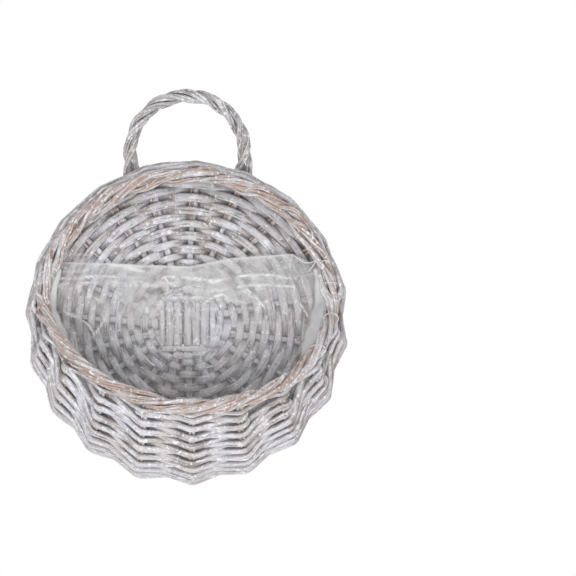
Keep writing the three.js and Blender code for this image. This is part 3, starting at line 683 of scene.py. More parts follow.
# The front
front = {
    "risingShare": 0.45,
    "fallingShare": 0.42,
    "tuckShare": 0.8,
    "measureSteps": 48,
    "nudgeShare": 0.01,
    "rimRows": 2,
    "lipRows": 1,
    "firstInset": 1.6,
    "lastInset": 8.8,
    "rowPitch": 5.3,
    "packingWeavers": 5,
    "weaverThick": 4.6,
    "widthShare": 1.08,    # width of a rod against the room of its row
    "narrowest": 5.5,
    "widest": 8.5,
    "flattening": (0.9, 1.2),            # of the width half way between stakes, and at a stake
    "pairLap": 0.8,
    "stakeThick": 5.0,
    "crossingGap": 0.1,
    "bends": (0, 0.12, 0.5, 0.88),       # where a rod's line is set between two stakes, in shares
    "swings": (0, 0.1, 0.5, 0.9),        # and how far it has swung from one side to the other there
    "cornerDepth": 4.4,    # the rods in the corner lie this far behind the foot of the wall
    "shift": (0.04, 0.8),  # rows close up this far past a stake where others turn back
    "turnReach": 0.16,     # how far past the last stake of a row its rod turns, in stakes
    "turnRuns": (0.75, 1, 0.75),
    "turnShares": (0.22, 0.5, 0.78),
    "turnLean": (0.5, 0, -0.5),
    "turnWidthShare": 0.85,
    "tipReach": 0.42,
    "tipShare": 0.8,
    "topShares": (0.2, 0.33),            # where the top begins, as shares of the stakes
    "topSwell": 1.8,
    "middleSwell": 2.4,
    "topSwing": 0.45,      # round the top a rod of a pair swings less
    "topAside": 0.55,      # and lies more to the outside
    "endRun": 0.8,         # a whole row goes this far past its last stake, in stakes
    "endSides": (0.7, 0),
    "drifts": [(0.35, 1), (0.5, 2)],     # outward and across, and what each adds to the seed
    "driftPoints": 14,
    "lime": 0.62,
    "limeSpread": 0.2,
    "limePoints": 20,
    "uneven": 0.09,
    "seeds": {"rim": 200, "packing": 210, "lip": 230, "corner": 240},
    "samples": 8,
}
wallStart = form["rimLevel"] - form["rimBend"]
lowest = 2
lastStep = (form["stakes"] - 1) // 2


def edgePoint(index):
    # Middle line of the border: a circle over the upper half, and below the hinge a full ellipse, x to a
    # power and y to the same power adding up to 1, that swings forward and down.
    angle = np.mod(stakeAngle(index) + turn / 2, turn) - turn / 2
    size, way = np.abs(angle), np.sign(angle)
    across = np.sin(np.clip(size / form["hingeAngle"], 0, 1) * turn / 4)
    fullness = form["lipFullness"] * np.where(way < 0, form["leftFullnessShare"], 1)
    fall = (1 - across ** fullness) ** (1 / fullness)
    lip = np.stack([
        way * form["lipHalfWidth"] * across,
        -mix(form["edgeDepth"], form["lipDepth"], fall),
        form["lipHinge"] - form["lipDrop"] * fall,
    ], axis=-1)
    hingeRadius = math.hypot(form["lipHalfWidth"], form["lipHinge"])
    hingeTurn = math.atan2(form["lipHalfWidth"], -form["lipHinge"])
    around = mix(hingeTurn, turn / 2, (size - form["hingeAngle"]) / (turn / 2 - form["hingeAngle"]))
    eased = ease(size, form["hingeAngle"], form["hingeAngle"] + form["easeAngle"])
    radius = mix(hingeRadius, form["edgeRadius"], eased)
    top = outward(way * around) * column(radius)
    top[..., 1] = -form["edgeDepth"]
    return np.where(column(size <= form["hingeAngle"]), lip, top)


def wallControls(index):
    # The four controls of a stake's line in the wall: its foot, a place forward of the foot that bulges
    # out, a place rearward of the edge that is most of the way over the foot, and the edge.
    angle = stakeAngle(index)
    foot = outward(angle) * form["stakeRadius"]
    foot[..., 1] = wallStart
    edge = edgePoint(index)
    run = column(foot[..., 1] - edge[..., 1])
    first = foot - rearward * run * front["risingShare"]
    first = first + outward(angle) * form["bulge"] * run / (form["lipDepth"] + wallStart)
    second = edge + rearward * run * front["fallingShare"]
    second = second - (edge - foot) * [1, 0, 1] * front["tuckShare"]
    return np.stack([foot, first, second, edge], axis=-2)


def bezier(controls, t):  # the cubic curve of four controls, at t from 0 to 1
    a, b, c, d = (controls[..., k, :] for k in range(4))
    t = column(t)
    return a * (1 - t) ** 3 + 3 * b * t * (1 - t) ** 2 + 3 * c * t ** 2 * (1 - t) + d * t ** 3


def wallAt(index, share):
    # The place on a stake's line at a share of its length. The curve is measured in even steps of t, and
    # the step that holds the share is filled evenly.
    controls, steps = wallControls(index), front["measureSteps"]
    t = np.linspace(0, 1, steps + 1)
    points = bezier(controls[..., None, :, :], np.broadcast_to(t, controls.shape[:-2] + t.shape))
    lengths = np.cumsum(np.linalg.norm(np.diff(points, axis=-2), axis=-1), axis=-1)
    lengths = np.concatenate([np.zeros(points.shape[:-2] + (1,)), lengths], axis=-1)
    wanted = np.clip(share, 0, 1) * lengths[..., -1]
    at = np.clip(np.sum(lengths[..., 1:] < wanted[..., None], axis=-1), 0, steps - 1)
    low, high = (np.take_along_axis(lengths, at[..., None] + n, -1)[..., 0] for n in (0, 1))
    return bezier(controls, (at + (wanted - low) / (high - low)) / steps), lengths[..., -1]


def wallPlace(index, share):
    # A place on the front with the directions along the stake, out of the basket and across.
    index, share = np.broadcast_arrays(np.asarray(index, float), np.asarray(share, float))
    at, length = wallAt(index, share)
    ahead = np.minimum(share + front["nudgeShare"], 1)
    along = unit(wallAt(index, ahead)[0] - wallAt(index, ahead - 2 * front["nudgeShare"])[0])
    across = wallAt(index + 0.5, share)[0] - wallAt(index - 0.5, share)[0]
    out = unit(np.cross(across, along))
    return at, along, out, np.cross(along, out), length


stakeLength = wallAt(np.arange(form["stakes"], dtype=float), 1.0)[1]


def stakeOf(step):  # steps count stakes from the lowest one
    return (lowest + step) % form["stakes"]


def roomFor(index):  # how many packing rows fit on a stake
    room = stakeLength[index] - front["firstInset"] - front["lastInset"]
    return math.floor(room / front["rowPitch"]) + 1 - front["rimRows"] - front["lipRows"]


def reachOf(row, way):  # how many stakes a packing row goes that way, as long as it fits on the next
    step = 0
    while abs(step) < form["stakes"] / 2 - 1 and roomFor(stakeOf(step + way)) > row:
        step += way
    return step


packingRows = [(reachOf(row + row % 2, -1), reachOf(row + (row + 1) % 2, 1))
               for row in range(2 * (roomFor(stakeOf(0)) // 2))]


def rowsAt(step):
    return front["rimRows"] + sum(low <= step <= high for low, high in packingRows) + front["lipRows"]


def rowShare(step, row):  # how far up the front a row crosses a stake
    length = stakeLength[stakeOf(step)]
    room = length - front["firstInset"] - front["lastInset"]
    return (front["firstInset"] + room * row / (rowsAt(step) - 1)) / length


rowCounts = np.array([rowsAt(step) for step in range(-lastStep - 1, lastStep + 2)])


def rowRoom(steps):
    # The room of one row at a place round the front, the number of rows and the length of the wall there.
    # The number changes close to the stake that has more rows, just past their turns.
    low = np.floor(steps).astype(int)
    share = steps - low
    near, far = rowCounts[low + lastStep + 1], rowCounts[low + lastStep + 2]
    start, end = front["shift"]
    changed = np.where(near >= far, ease(share, start, end), ease(share, 1 - end, 1 - start))
    count = mix(near, far, changed)
    length = mix(stakeLength[stakeOf(low)], stakeLength[stakeOf(low + 1)], share)
    return (length - front["firstInset"] - front["lastInset"]) / (count - 1), count, length


def towardsTop(steps):  # 0 over the lower part and 1 round the top
    start, end = front["topShares"]
    return ease(np.abs(steps), form["stakes"] * start, form["stakes"] * end)


def rowPlace(steps, row, aside):
    # The place of a row on the straight line between two stakes. Round the top the rods stand a little
    # further out, most of all half way, so that they run round there.
    room, count, length = rowRoom(steps)
    distance = front["firstInset"] + room * ((count - 1 if row is None else row) + aside / 4)
    share = np.maximum(distance, 0) / length
    low = np.floor(steps)
    near, _, nearOut, _, _ = wallPlace(lowest + low, share)
    far, _, farOut, _, _ = wallPlace(lowest + low + 1, share)
    at = mix(near, far, column(steps - low))
    swell = front["topSwell"] + front["middleSwell"] * np.sin(math.pi * steps) ** 2
    swell = towardsTop(steps) * swell
    at = at + unit(at * [1, 0, 1]) * column(swell)
    out = unit(mix(nearOut, farOut, column(steps - low)))
    if row is not None and row < 0:
        at = at + rearward * (front["cornerDepth"] - aside * front["narrowest"] / 4)
        out = unit(out + rearward)
        room = 0 * room + front["narrowest"]
    return at, out, room


frontReach = (front["stakeThick"] + front["weaverThick"]) / 2 + front["crossingGap"]


def rowControls(steps, row, sides, facing=1.0, aside=0.0):
    # A rod runs nearly straight from one side of a stake to the other side of the next and bends there.
    steps, sides = np.array(steps, float), np.array(sides, float)
    places = mix(steps[:-1, None], steps[1:, None], np.array(front["bends"])).reshape(-1)
    swung = mix(sides[:-1, None], sides[1:, None], np.array(front["swings"])).reshape(-1)
    places, swung = np.append(places, steps[-1]), np.append(swung, sides[-1])
    at, out, room = rowPlace(places, row, aside)
    widths = np.clip(room * front["widthShare"], front["narrowest"], front["widest"])
    widths = widths * mix(*front["flattening"], np.abs(swung))
    if aside:
        widths = room / 2 + front["pairLap"]
    return at + out * column(swung) * frontReach, out * facing, swung * facing, widths


def turnControls(step, row, side, way, facing):
    # A rod turns back round the last stake of its row: over it, past it and back under it, one row on.
    near, far = rowShare(step, front["rimRows"] + row), rowShare(step, front["rimRows"] + row + 1)
    runs = np.array(front["turnRuns"]) * front["turnReach"] * way
    shares = mix(near, far, np.array(front["turnShares"]))
    at, _, out, across, _ = wallPlace(lowest + step + runs, shares)
    lean = np.array(front["turnLean"]) * side
    flat = column(np.sign(front["turnLean"])) * out * facing + across * way * facing * side
    widths = np.full(len(lean), front["narrowest"] * front["turnWidthShare"])
    return at + out * column(lean * frontReach), flat, lean * facing / 2, widths


def tipControls(step, row, way, facing):
    # The free end of a packing rod tucks in behind the weave past its last stake.
    share = rowShare(step, front["rimRows"] + row)
    at, _, out, _, _ = wallPlace(lowest + step + front["tipReach"] * way, share)
    line, lift = at - out * frontReach * front["tipShare"], -front["tipShare"] * facing
    width = front["narrowest"] * front["tipShare"]
    return line[None], (out * facing)[None], np.array([lift]), np.array([width])


def frontRod(parts, seed):
    # Joins stretches of controls into one rod, which rises and sways a little.
    channels = [np.concatenate([part[k] for part in parts]) for k in range(4)]
    dense = curveThrough(np.column_stack(channels), front["samples"])
    line, out = dense[:, :3], dense[:, 3:6]
    count = len(line)
    rise, sway = (drift(count, count // front["driftPoints"] + 2, spread, seed + more)
                  for spread, more in front["drifts"])
    across = unit(np.cross(unit(np.gradient(line, axis=0)), out))
    line = line + unit(out) * column(rise) + across * column(sway)
    lime = drift(count, count // front["limePoints"] + 2, front["limeSpread"], seed + 5) + front["lime"]
    return makeRod(line, out, dense[:, 7], front["weaverThick"], lime, seed, front["uneven"], dense[:, 6])


def wholeRow(row, aside):
    # A row that runs all round is two thin rods side by side. They share the room of the row between
    # them and pass each stake on opposite sides. Their ends pass each other between the last two stakes.
    steps = np.arange(-lastStep, lastStep + 1)
    first = rowsAt(0) if row is None else row
    sides = np.array([sideOf(step + first) for step in steps], float) * aside
    sides = mix(sides, sides * front["topSwing"] + front["topAside"], towardsTop(steps))
    start, end = front["endSides"]
    steps = np.concatenate([[steps[0] - front["endRun"]], steps, [steps[-1] + front["endRun"]]])
    return rowControls(steps, row, np.concatenate([[start], sides, [end]]), aside=aside)


def packingRod(firstRow, lastRow, seed):
    # One rod goes to and fro over its rows, with a turn after each but the last and a tip at each end.
    parts, facing = [], 1.0
    for row in range(firstRow, lastRow + 1):
        low, high = packingRows[row]
        way = -sideOf(row)
        steps = list(range(low, high + 1))[::way]
        sides = [sideOf(step + front["rimRows"] + row) for step in steps]
        if row == firstRow:
            parts.append(tipControls(steps[0], row, -way, facing))
        parts.append(rowControls(steps, front["rimRows"] + row, sides, facing))
        if row == lastRow:
            parts.append(tipControls(steps[-1], row, way, facing))
        else:
            parts.append(turnControls(steps[-1], row, sides[-1], way, facing))
            facing = -facing
    return frontRod(parts, seed)


def rowPair(row, seed):  # the two thin rods of a whole row
    return [frontRod([wholeRow(row, aside)], seed + (aside > 0)) for aside in (-1, 1)]


def buildFront():
    seeds, finish = front["seeds"], willow["peeledWillow"]
    for row in range(front["rimRows"]):
        rods = rowPair(row, seeds["rim"] + 2 * row)
        if row == 0:  # two more rods close the corner between the back and the front
            rods += rowPair(-1, seeds["corner"])
        addRods(f"rimWeaver{row + 1}", rods, f"rim_weaver_{row + 1}", finish)
    share = len(packingRows) / front["packingWeavers"]
    for n in range(front["packingWeavers"]):
        first, after = (int(share * end + 0.5) for end in (n, n + 1))
        rod = packingRod(first, after - 1, seeds["packing"] + n)
        addRods(f"packingWeaver{n + 1}", [rod], f"packing_weaver_{n + 1}", finish)
    addRods("lipWeaver", rowPair(None, seeds["lip"]), "lip_weaver", finish)


buildFront()
print("front woven,", len(packingRows), "packing rows")

# The stakes and the roped border
border = {
    "rodWidth": 3.3,       # two thin rods make a stake
    "rodThick": 4.6,
    "strandRod": 3.0,      # and a third lies between them in the border
    "strandThick": 4.4,
    "strandPitchShare": 0.9,
    "rope": 3.1,           # from the middle of the border to the middle of a strand
    "ropeWide": 4.4,       # and the same across the wall
    "entry": 0.1,
    "run": 2.72,           # how far a strand runs on, in stakes
    "woundStakes": 3,      # in how many stakes it winds round once
    "ropePoints": 14,
    "nudge": 0.05,
    "flatRadii": (114.0, 124.0, 133.0),
    "scarfFades": (118.0, 132.0),
    "rootSpread": 0.62,    # the two rods start narrower
    "spreadRadii": (104.0, 130.0),
    "cornerInset": 1.5,
    "wallPitch": 10.0,
    "wallStartShare": 0.02,
    "ropeRoom": 5.0,
    "twist": 0.8,
    "twistSteps": 8,
    "twistSeed": 400,
    "rise": 0.2,
    "ropeRise": 2.4,       # how much more a rod rises and falls in the border
    "riseSteps": 14,
    "limes": (0.12, 0.6, 0.45),          # on the back, in the wall and in the border
    "limeSpread": 0.9,
    "uneven": 0.07,
    "seed": 301,
    "samples": 5,
}


def borderFrame(index):
    # The middle line of the border, and the directions along it, on up the wall and out of the wall.
    along = unit(edgePoint(index + border["nudge"]) - edgePoint(index - border["nudge"]))
    controls = wallControls(index)
    inner = unit(controls[..., 3, :] - controls[..., 2, :])
    inner = unit(inner - dot(inner, along) * along)
    return edgePoint(index), along, inner, np.cross(along, inner)


def borderControls(index, run):
    # A strand winds round the middle line of the border as a cosine along the wall and a sine out of it,
    # and starts outside the wall.
    at, _, inner, out = borderFrame(index + run)
    wind = column(run * turn / border["woundStakes"])
    line = at - inner * border["rope"] * np.cos(wind) + out * border["ropeWide"] * np.sin(wind)
    return line, out * np.sin(wind) - inner * np.cos(wind)


def stakeControls(index):
    # A stake lies flat beside its spoke, bends forward at the rim, stands in the wall and runs on as a
    # strand. Returns its places, outward directions, how far its rods spread, how much of a place is in
    # the border, and whether it is forward of the rim.
    away = outward(stakeAngle(index))
    radii = np.array([back["stakeRoot"], *border["flatRadii"], form["stakeRadius"] - form["rimBend"]])
    flat = spokePoint(np.full(len(radii), index), radii)
    across = unit(np.cross(spokeEnd[index] - spokeStart[index], rearward))
    flat = flat + across * column(back["scarfAside"] * (1 - ease(radii, *border["scarfFades"])))
    corner = away * (form["stakeRadius"] - border["cornerInset"])
    corner[1] = form["rimLevel"] - border["cornerInset"]
    count = max(3, round(stakeLength[index] / border["wallPitch"]))
    last = 1 - (border["rope"] + border["ropeRoom"]) / stakeLength[index]
    shares = np.linspace(border["wallStartShare"], last, count)
    at, _, out, _, _ = wallPlace(np.full(count, float(index)), shares)
    runs = np.linspace(border["entry"], border["run"], border["ropePoints"])
    rope, ropeOut = borderControls(index, runs)
    line = np.concatenate([flat, corner[None], at, rope])
    outs = np.concatenate([np.tile(rearward, (len(flat), 1)), unit(away + rearward)[None], out, ropeOut])
    spread = np.ones(len(line))
    spread[:len(flat)] = mix(border["rootSpread"], 1.0, ease(radii, *border["spreadRadii"]))
    inRope = np.repeat([0.0, 1.0], [len(flat) + 1 + count, len(rope)])
    forward = np.repeat([0.0, 1.0], [len(flat) + 1, count + len(rope)])
    return np.column_stack([line, outs, spread, inRope, forward])


def buildStakes():
    # The middle rod of a strand starts with the border. There the rods twist and rise by random drifts.
    onBack, inWall, onBorder = border["limes"]
    for index in range(form["stakes"]):
        dense = curveThrough(stakeControls(index), border["samples"])
        line, out = dense[:, :3], unit(dense[:, 3:6])
        spread, inRope, forward = dense[:, 6], dense[:, 7], dense[:, 8]
        side = np.cross(unit(np.gradient(line, axis=0)), out)
        apart = mix(border["rodWidth"] / 2, border["strandRod"] * border["strandPitchShare"], inRope)
        width = mix(border["rodWidth"], border["strandRod"], inRope) * spread
        thick = mix(border["rodThick"], border["strandThick"], inRope) * spread
        rods = []
        for way in (-1, 0, 1):
            seed = border["seed"] + 3 * index + way
            twist = drift(len(line), border["twistSteps"], border["twist"], seed + border["twistSeed"])
            twist = inRope * twist
            offset = side * column(np.cos(twist)) + out * column(np.sin(twist))
            rise = drift(len(line), border["riseSteps"], border["rise"], seed)
            rise = rise * (1 + border["ropeRise"] * inRope)
            path = line + offset * column(apart * way * spread) + out * column(rise)
            lime = mix(onBack, mix(inWall, onBorder, inRope), forward)
            lime = lime + border["limeSpread"] * (np.random.default_rng(seed).random() - 0.5)
            rod = slice(0 if way else np.argmax(inRope > 0.5), None)
            rods.append(makeRod(path[rod], out[rod], width[rod], thick[rod], lime[rod], seed,
                                border["uneven"]))
        addRods(f"stake{index + 1}", rods, f"stake_{index + 1:02d}", willow["barkWillow"])


buildStakes()
print("stakes and border laid")

# The handle
handle = {
    "radius": 54.98,
    "centre": 164.0,
    "depth": 9.5,
    "rope": 3.9,
    "twist": 8 / 3,
    "strands": 3,
    "footStake": 10,
    "footInset": 4.0,
    "footSpread": 7.4,
    "footRear": 2.9,
    "footFront": 10.4,
    "parting": 15.0,
    "closing": 13.0,
    "thinRods": 3,         # in each strand
    "thinWidth": 3.36,
    "thinThick": 3.0,
    "thinOut": 1.7,        # from the middle of the strand
    "thinSide": 1.8,
    "thinTwist": 3.2,
    "strandRoll": 0.6,
    "rollDrift": 0.25,
    "rollSteps": 12,
    "lime": 0.95,
    "uneven": 0.08,
    "seed": 500,
    "samples": 220,
}


def handleLine(strand):
    # A strand of the bow: up a leg, round half a circle and down, winding round the middle of the rope by
    # a cosine to the rear and a sine outward. The strands part near the feet, one behind and two beside.
    foot = outward(stakeAngle(handle["footStake"])) * (form["stakeRadius"] - handle["footInset"])
    leg = handle["centre"] - foot[2]
    whole = 2 * leg + math.pi * handle["radius"]
    run = np.linspace(0, whole, handle["samples"])
    around = np.clip((run - leg) / handle["radius"], 0, math.pi)
    out = np.stack([-np.cos(around), 0 * around, np.sin(around)], axis=-1)
    below = np.maximum(np.maximum(leg - run, run - leg - math.pi * handle["radius"]), 0)
    at = np.stack([0 * run, 0 * run - handle["depth"], handle["centre"] - below], axis=-1)
    at = at + out * handle["radius"]
    share = np.clip((run - handle["parting"]) / (whole - 2 * handle["parting"]), 0, 1)
    wind = turn * (strand / handle["strands"] + handle["twist"] * share)
    rooted = 1 - ease(np.minimum(run, whole - run), 0, handle["parting"] + handle["closing"])
    rear = (1 + 2 * np.cos(wind)) / 3  # 1 for the strand behind and 0 for the two beside
    rootRear = mix(handle["depth"] - handle["footFront"], handle["depth"] - handle["footRear"], rear)
    rootSide = np.sin(wind) * handle["footSpread"] / math.sin(turn / 3) - (handle["radius"] - foot[0])
    behind = mix(handle["rope"] * np.cos(wind), rootRear, rooted)
    side = mix(handle["rope"] * np.sin(wind), rootSide, rooted)
    facing = rearward * column(np.cos(wind)) + out * column(np.sin(wind))
    return at + rearward * column(behind) + out * column(side), facing


def buildHandle():
    # The thin rods of a strand wind round its middle line, a cosine of their roll to its outside and a
    # sine to its side.
    for strand in range(handle["strands"]):
        line, facing = handleLine(strand)
        side = np.cross(unit(np.gradient(line, axis=0)), facing)
        rods = []
        for n in range(handle["thinRods"]):
            seed = handle["seed"] + 3 * strand + n
            roll = n * turn / handle["thinRods"] + handle["strandRoll"] * strand
            roll = roll + np.linspace(0, handle["thinTwist"], len(line))
            roll = roll + drift(len(line), handle["rollSteps"], handle["rollDrift"], seed)
            path = line + facing * column(np.cos(roll) * handle["thinOut"])
            path = path + side * column(np.sin(roll) * handle["thinSide"])
            rods.append(makeRod(path, facing, handle["thinWidth"], handle["thinThick"], handle["lime"],
                                seed, handle["uneven"]))
        addRods(f"handleStrand{strand + 1}", rods, f"handle_strand_{strand + 1}", willow["handleWillow"])


buildHandle()
print("handle twisted")

# The film liner and its thread
liner = {
    "radius": 135.0,
    "topHeight": 58.0,
    "backDepth": 28.5,      # from the wall to the film in the middle of the back
    "rimDepth": 20.0,
    "cornerShare": 0.97,
    "inset": 11.0,          # from the middle of the woven front to the film
    "underEdge": 2.0,
    "thickness": 0.12,
    "columns": 240,
    "backRows": 110,
    "frontRows": 50,
    "topEdge": [(-128, 1), (-80, 0), (-32, -2), (3, -3), (22, 1), (42, 5), (70, 7), (100, 9),
                (128, -4)],
    "gathers": [(84, 20, 15.0), (-78, 26, 7.0)],     # degrees round, width in degrees and depth
    "gatherRise": 1.15,
    "gatherEnds": (0.93, 1.0),
    "foldAcross": 0.16,     # waves of the loose film, in radians a millimetre
    "foldDown": 0.045,
    "foldBend": 1.5,
    "foldBendDown": 0.05,
    "smallFold": 0.5,
    "smallAcross": 0.31,
    "smallDown": 0.12,
    "foldLift": 1.5,
    "foldDepth": 0.8,
    "looseStart": 5,        # the film is loose past one part in so many from an edge
    "rippleAcross": 0.42,   # in radians a degree round
    "rippleUp": 3,
    "rippleSlow": 0.17,
    "rippleDepth": 1.3,
    "rippleStart": 4,
    "rippleEnds": (0.9, 1),
    "hemRows": 6,
    "hemInset": 7.0,
    "hemSteps": (0.55, 0.95),
    "topHem": 0.8,
    "topHemRows": 2.2,
    "creases": [
        [(-122, 43), (-90, 46), (-50, 44), (-8, 45), (2, 47)],
        [(-118, 38), (-70, 41), (-30, 39), (10, 36), (32, 30), (60, 38), (92, 36)],
        [(-60, 57), (-20, 46), (-18, 34), (-24, 22)],
        [(6, 44), (28, 40), (52, 46), (84, 47), (98, 42), (120, 48)],
        [(100, 62), (97, 48), (104, 34), (99, 18)],
        [(-96, 30), (-78, 16), (-84, -6), (-102, -24)],
        [(64, 26), (78, 12), (72, -8)],
        [(20, 22), (32, 30), (46, 22), (62, 18), (86, 24)],
        [(-30, 20), (-12, 27), (6, 24), (22, 12), (30, 16)],
        [(-128, 56), (-104, 50), (-92, 57)],
        [(-116, 10), (-94, 0), (-86, -20)],
        [(108, 20), (118, 4), (114, -16)],
    ],
    "creaseHeight": 1.5,
    "creaseWidth": 1.6,
    "ridgeWiden": 2.0,      # the raised ridge is wider than the crease, and the painted highlight line finer
    "lineWiden": 0.45,
    "creaseSamples": 6,
    "tableSteps": 400,
}
film = {
    "color": (0.77, 0.765, 0.77, 1),
    # painted highlight colour of the creases, also used for the hem
    "creaseHighlightColor": (0.93, 0.93, 0.93, 1),
    "clear": 0.06,          # how much of the film covers where it lies plain
    "cloud": 0.30,          # and how much clouds add to that, most of all near its upper edge
    "veil": 0.13,           # an even veil over its upper part
    "streak": 0.14,
    # the creases also cover more, which whitens them as part of their painted highlight
    "crease": 0.95,
    "hem": 0.4,
    "most": 0.92,
    "clouds": (26.0, 3.0, 0.55),         # waves a metre, detail and roughness
    "breaks": (70.0, 2.0, 0.6),
    "streakScale": (110, 110, 24),
    "streakFineness": (3.0, 0.6),
    "cloudSteps": (0.36, 0.7),
    "breakSteps": (0.42, 0.72),
    "streakSteps": (0.55, 0.8),
    "lowClouds": 0.16,
    "veilLevels": (-0.212, -0.172),      # in metres, below and above which there is none and all of it
    "veilRagged": 0.08,
    "roughness": 0.18,
    "cloudRelief": 1.5,
    "bump": (0.5, 0.002),
}
thread = {
    "radius": 0.5,
    "stitches": [5.35, 6.25, 7.1, 7.6, -3.75],   # in stakes counted round the border
    "clearance": 3.0,       # from the middle of a strand to the thread
    "lean": 2.2,
    "points": 40,
    "knot": 7.6,
    "knotOffset": (-4.5, -7, 1),
    "ends": [(-22, 4, 5), (-8, -11, 0)],         # reach across and up of a loose end, and its sag
    "endForward": 3.0,
    "endBend": 3.0,
    "endPoints": 30,
    "endOut": (0.3, -1, 0.2),
    "color": (0.86, 0.85, 0.84, 1),
    # painted shade in the grooves of the thread's lay
    "layGrooveShade": (0.62, 0.61, 0.60, 1),
    "layScale": (900, 3, 1),
    "layTurn": (0, 0, 0.4),
    "laySteps": (0.3, 0.7),
    "roughness": 0.5,
    "bump": (0.4, 0.0002),
    "lime": 0.5,
    "seed": 700,
}
cornerHalf = math.sqrt(liner["radius"] ** 2 - liner["topHeight"] ** 2)
cornerAngle = math.atan2(cornerHalf, -liner["topHeight"])


def creaseNear(x, z, width):
    # How near each place is to the nearest crease: exp of minus the squared distance over the width.
    near = np.zeros_like(x)
    for crease in liner["creases"]:
        points = curveThrough(np.array(crease, float), liner["creaseSamples"])
        for a, b in zip(points[:-1], points[1:]):
            run = b - a
            t = np.clip(((x - a[0]) * run[0] + (z - a[1]) * run[1]) / max(run @ run, 1e-6), 0, 1)
            far = np.hypot(x - a[0] - t * run[0], z - a[1] - t * run[1])
            near = np.maximum(near, np.exp(-(far / width) ** 2))
    return near


def makeFilm():
    # Clear film: what covers is clouds, an even veil over the upper part, streaks that hang down, broken
    # creases and the hem. The creases are painted brighter as a highlight, and the hem takes the same
    # pale colour.
    material, tree, shader = startMaterial("clearFilm")
    place = addNode(tree, "ShaderNodeTexCoord").outputs["Object"]
    hem, clouds = attribute(tree, "hem"), noise(tree, place, *film["clouds"])
    level = addNode(tree, "ShaderNodeSeparateXYZ", {"Vector": place}).outputs["Z"]
    level = total(tree, level, (clouds, film["veilRagged"], noiseMiddle))
    upper = ramp(tree, level, *film["veilLevels"])
    cloudy = calc(tree, "ADD", upper, film["lowClouds"])
    cloudy = calc(tree, "MULTIPLY", ramp(tree, clouds, *film["cloudSteps"]), cloudy)
    broken = ramp(tree, noise(tree, place, *film["breaks"]), *film["breakSteps"])
    creased = calc(tree, "MULTIPLY", attribute(tree, "crease"), broken)
    streaks = noise(tree, scaled(tree, place, film["streakScale"]), 1.0, *film["streakFineness"])
    streaked = ramp(tree, streaks, *film["streakSteps"])
    cover = total(tree, (cloudy, film["cloud"]), (upper, film["veil"]), (streaked, film["streak"]),
                  (creased, film["crease"]), (hem, film["hem"]))
    cover = calc(tree, "ADD", cover, film["clear"])
    tree.links.new(calc(tree, "MINIMUM", cover, film["most"]), shader.inputs["Alpha"])
    # Painted highlight: the creases get the brighter colour, and the hem the same pale colour.
    bright = calc(tree, "MAXIMUM", creased, hem)
    tree.links.new(blend(tree, bright, film["color"], film["creaseHighlightColor"]), shader.inputs["Base Color"])
    shader.inputs["Roughness"].default_value = film["roughness"]
    addBump(tree, shader, total(tree, (clouds, film["cloudRelief"]), streaks), *film["bump"])
    return material


def makeThread():
    # White thread whose lay shows as slanting lines along it, with painted shade in the grooves between
    # its strands.
    material, tree, shader = startMaterial("whiteThread")
    along = addNode(tree, "ShaderNodeUVMap", uv_map="along").outputs[0]
    lay = {"Vector": along, "Scale": thread["layScale"], "Rotation": thread["layTurn"]}
    strand = noise(tree, addNode(tree, "ShaderNodeMapping", lay).outputs[0], 1.0, 1.0, 0.5)
    # Painted shade: the grooves of the lay are darkened.
    color = blend(tree, ramp(tree, strand, *thread["laySteps"]), thread["layGrooveShade"], thread["color"])
    tree.links.new(color, shader.inputs["Base Color"])
    addBump(tree, shader, strand, *thread["bump"])
    shader.inputs["Roughness"].default_value = thread["roughness"]
    return material


def backFilm(angle):
    # The film on the back, straight down from its upper edge to a circle. Products of sines make it hang
    # loose, and the creases stand up from it. Returns places, creases and hem.
    across = angle / (liner["cornerShare"] * cornerAngle)
    topX = cornerHalf * np.sin(across * turn / 4)
    edge = np.array(liner["topEdge"], float)
    topZ = liner["topHeight"] + np.interp(topX, edge[:, 0], edge[:, 1])
    top = np.stack([topX, 0 * topX, topZ], axis=-1)
    down = np.linspace(0, 1, liner["backRows"])[:, None]
    sheet = mix(top[None], (outward(angle) * liner["radius"])[None], down[..., None])
    share = np.linalg.norm(sheet, axis=-1) / liner["radius"]
    x, z = sheet[..., 0], sheet[..., 2]
    bend = liner["foldBend"] * np.sin(z * liner["foldBendDown"])
    folds = np.sin(x * liner["foldAcross"] + bend) * np.sin(z * liner["foldDown"] + 1)
    folds = folds + liner["smallFold"] * np.sin(x * liner["smallAcross"] + z * liner["smallDown"])
    loose = np.clip(down * liner["looseStart"], 0, 1) * np.clip((1 - down) * liner["looseStart"], 0, 1)
    rise = liner["creaseHeight"] * creaseNear(x, z, liner["creaseWidth"] * liner["ridgeWiden"])
    rise = rise + (folds + liner["foldLift"]) * liner["foldDepth"] * loose
    sheet[..., 1] = -mix(liner["backDepth"], liner["rimDepth"], np.minimum(share, 1) ** 2) - rise
    hem = np.clip(1 - down * liner["backRows"] / liner["topHemRows"], 0, 1) * liner["topHem"] + 0 * x
    return sheet, creaseNear(x, z, liner["creaseWidth"] * liner["lineWiden"]), hem


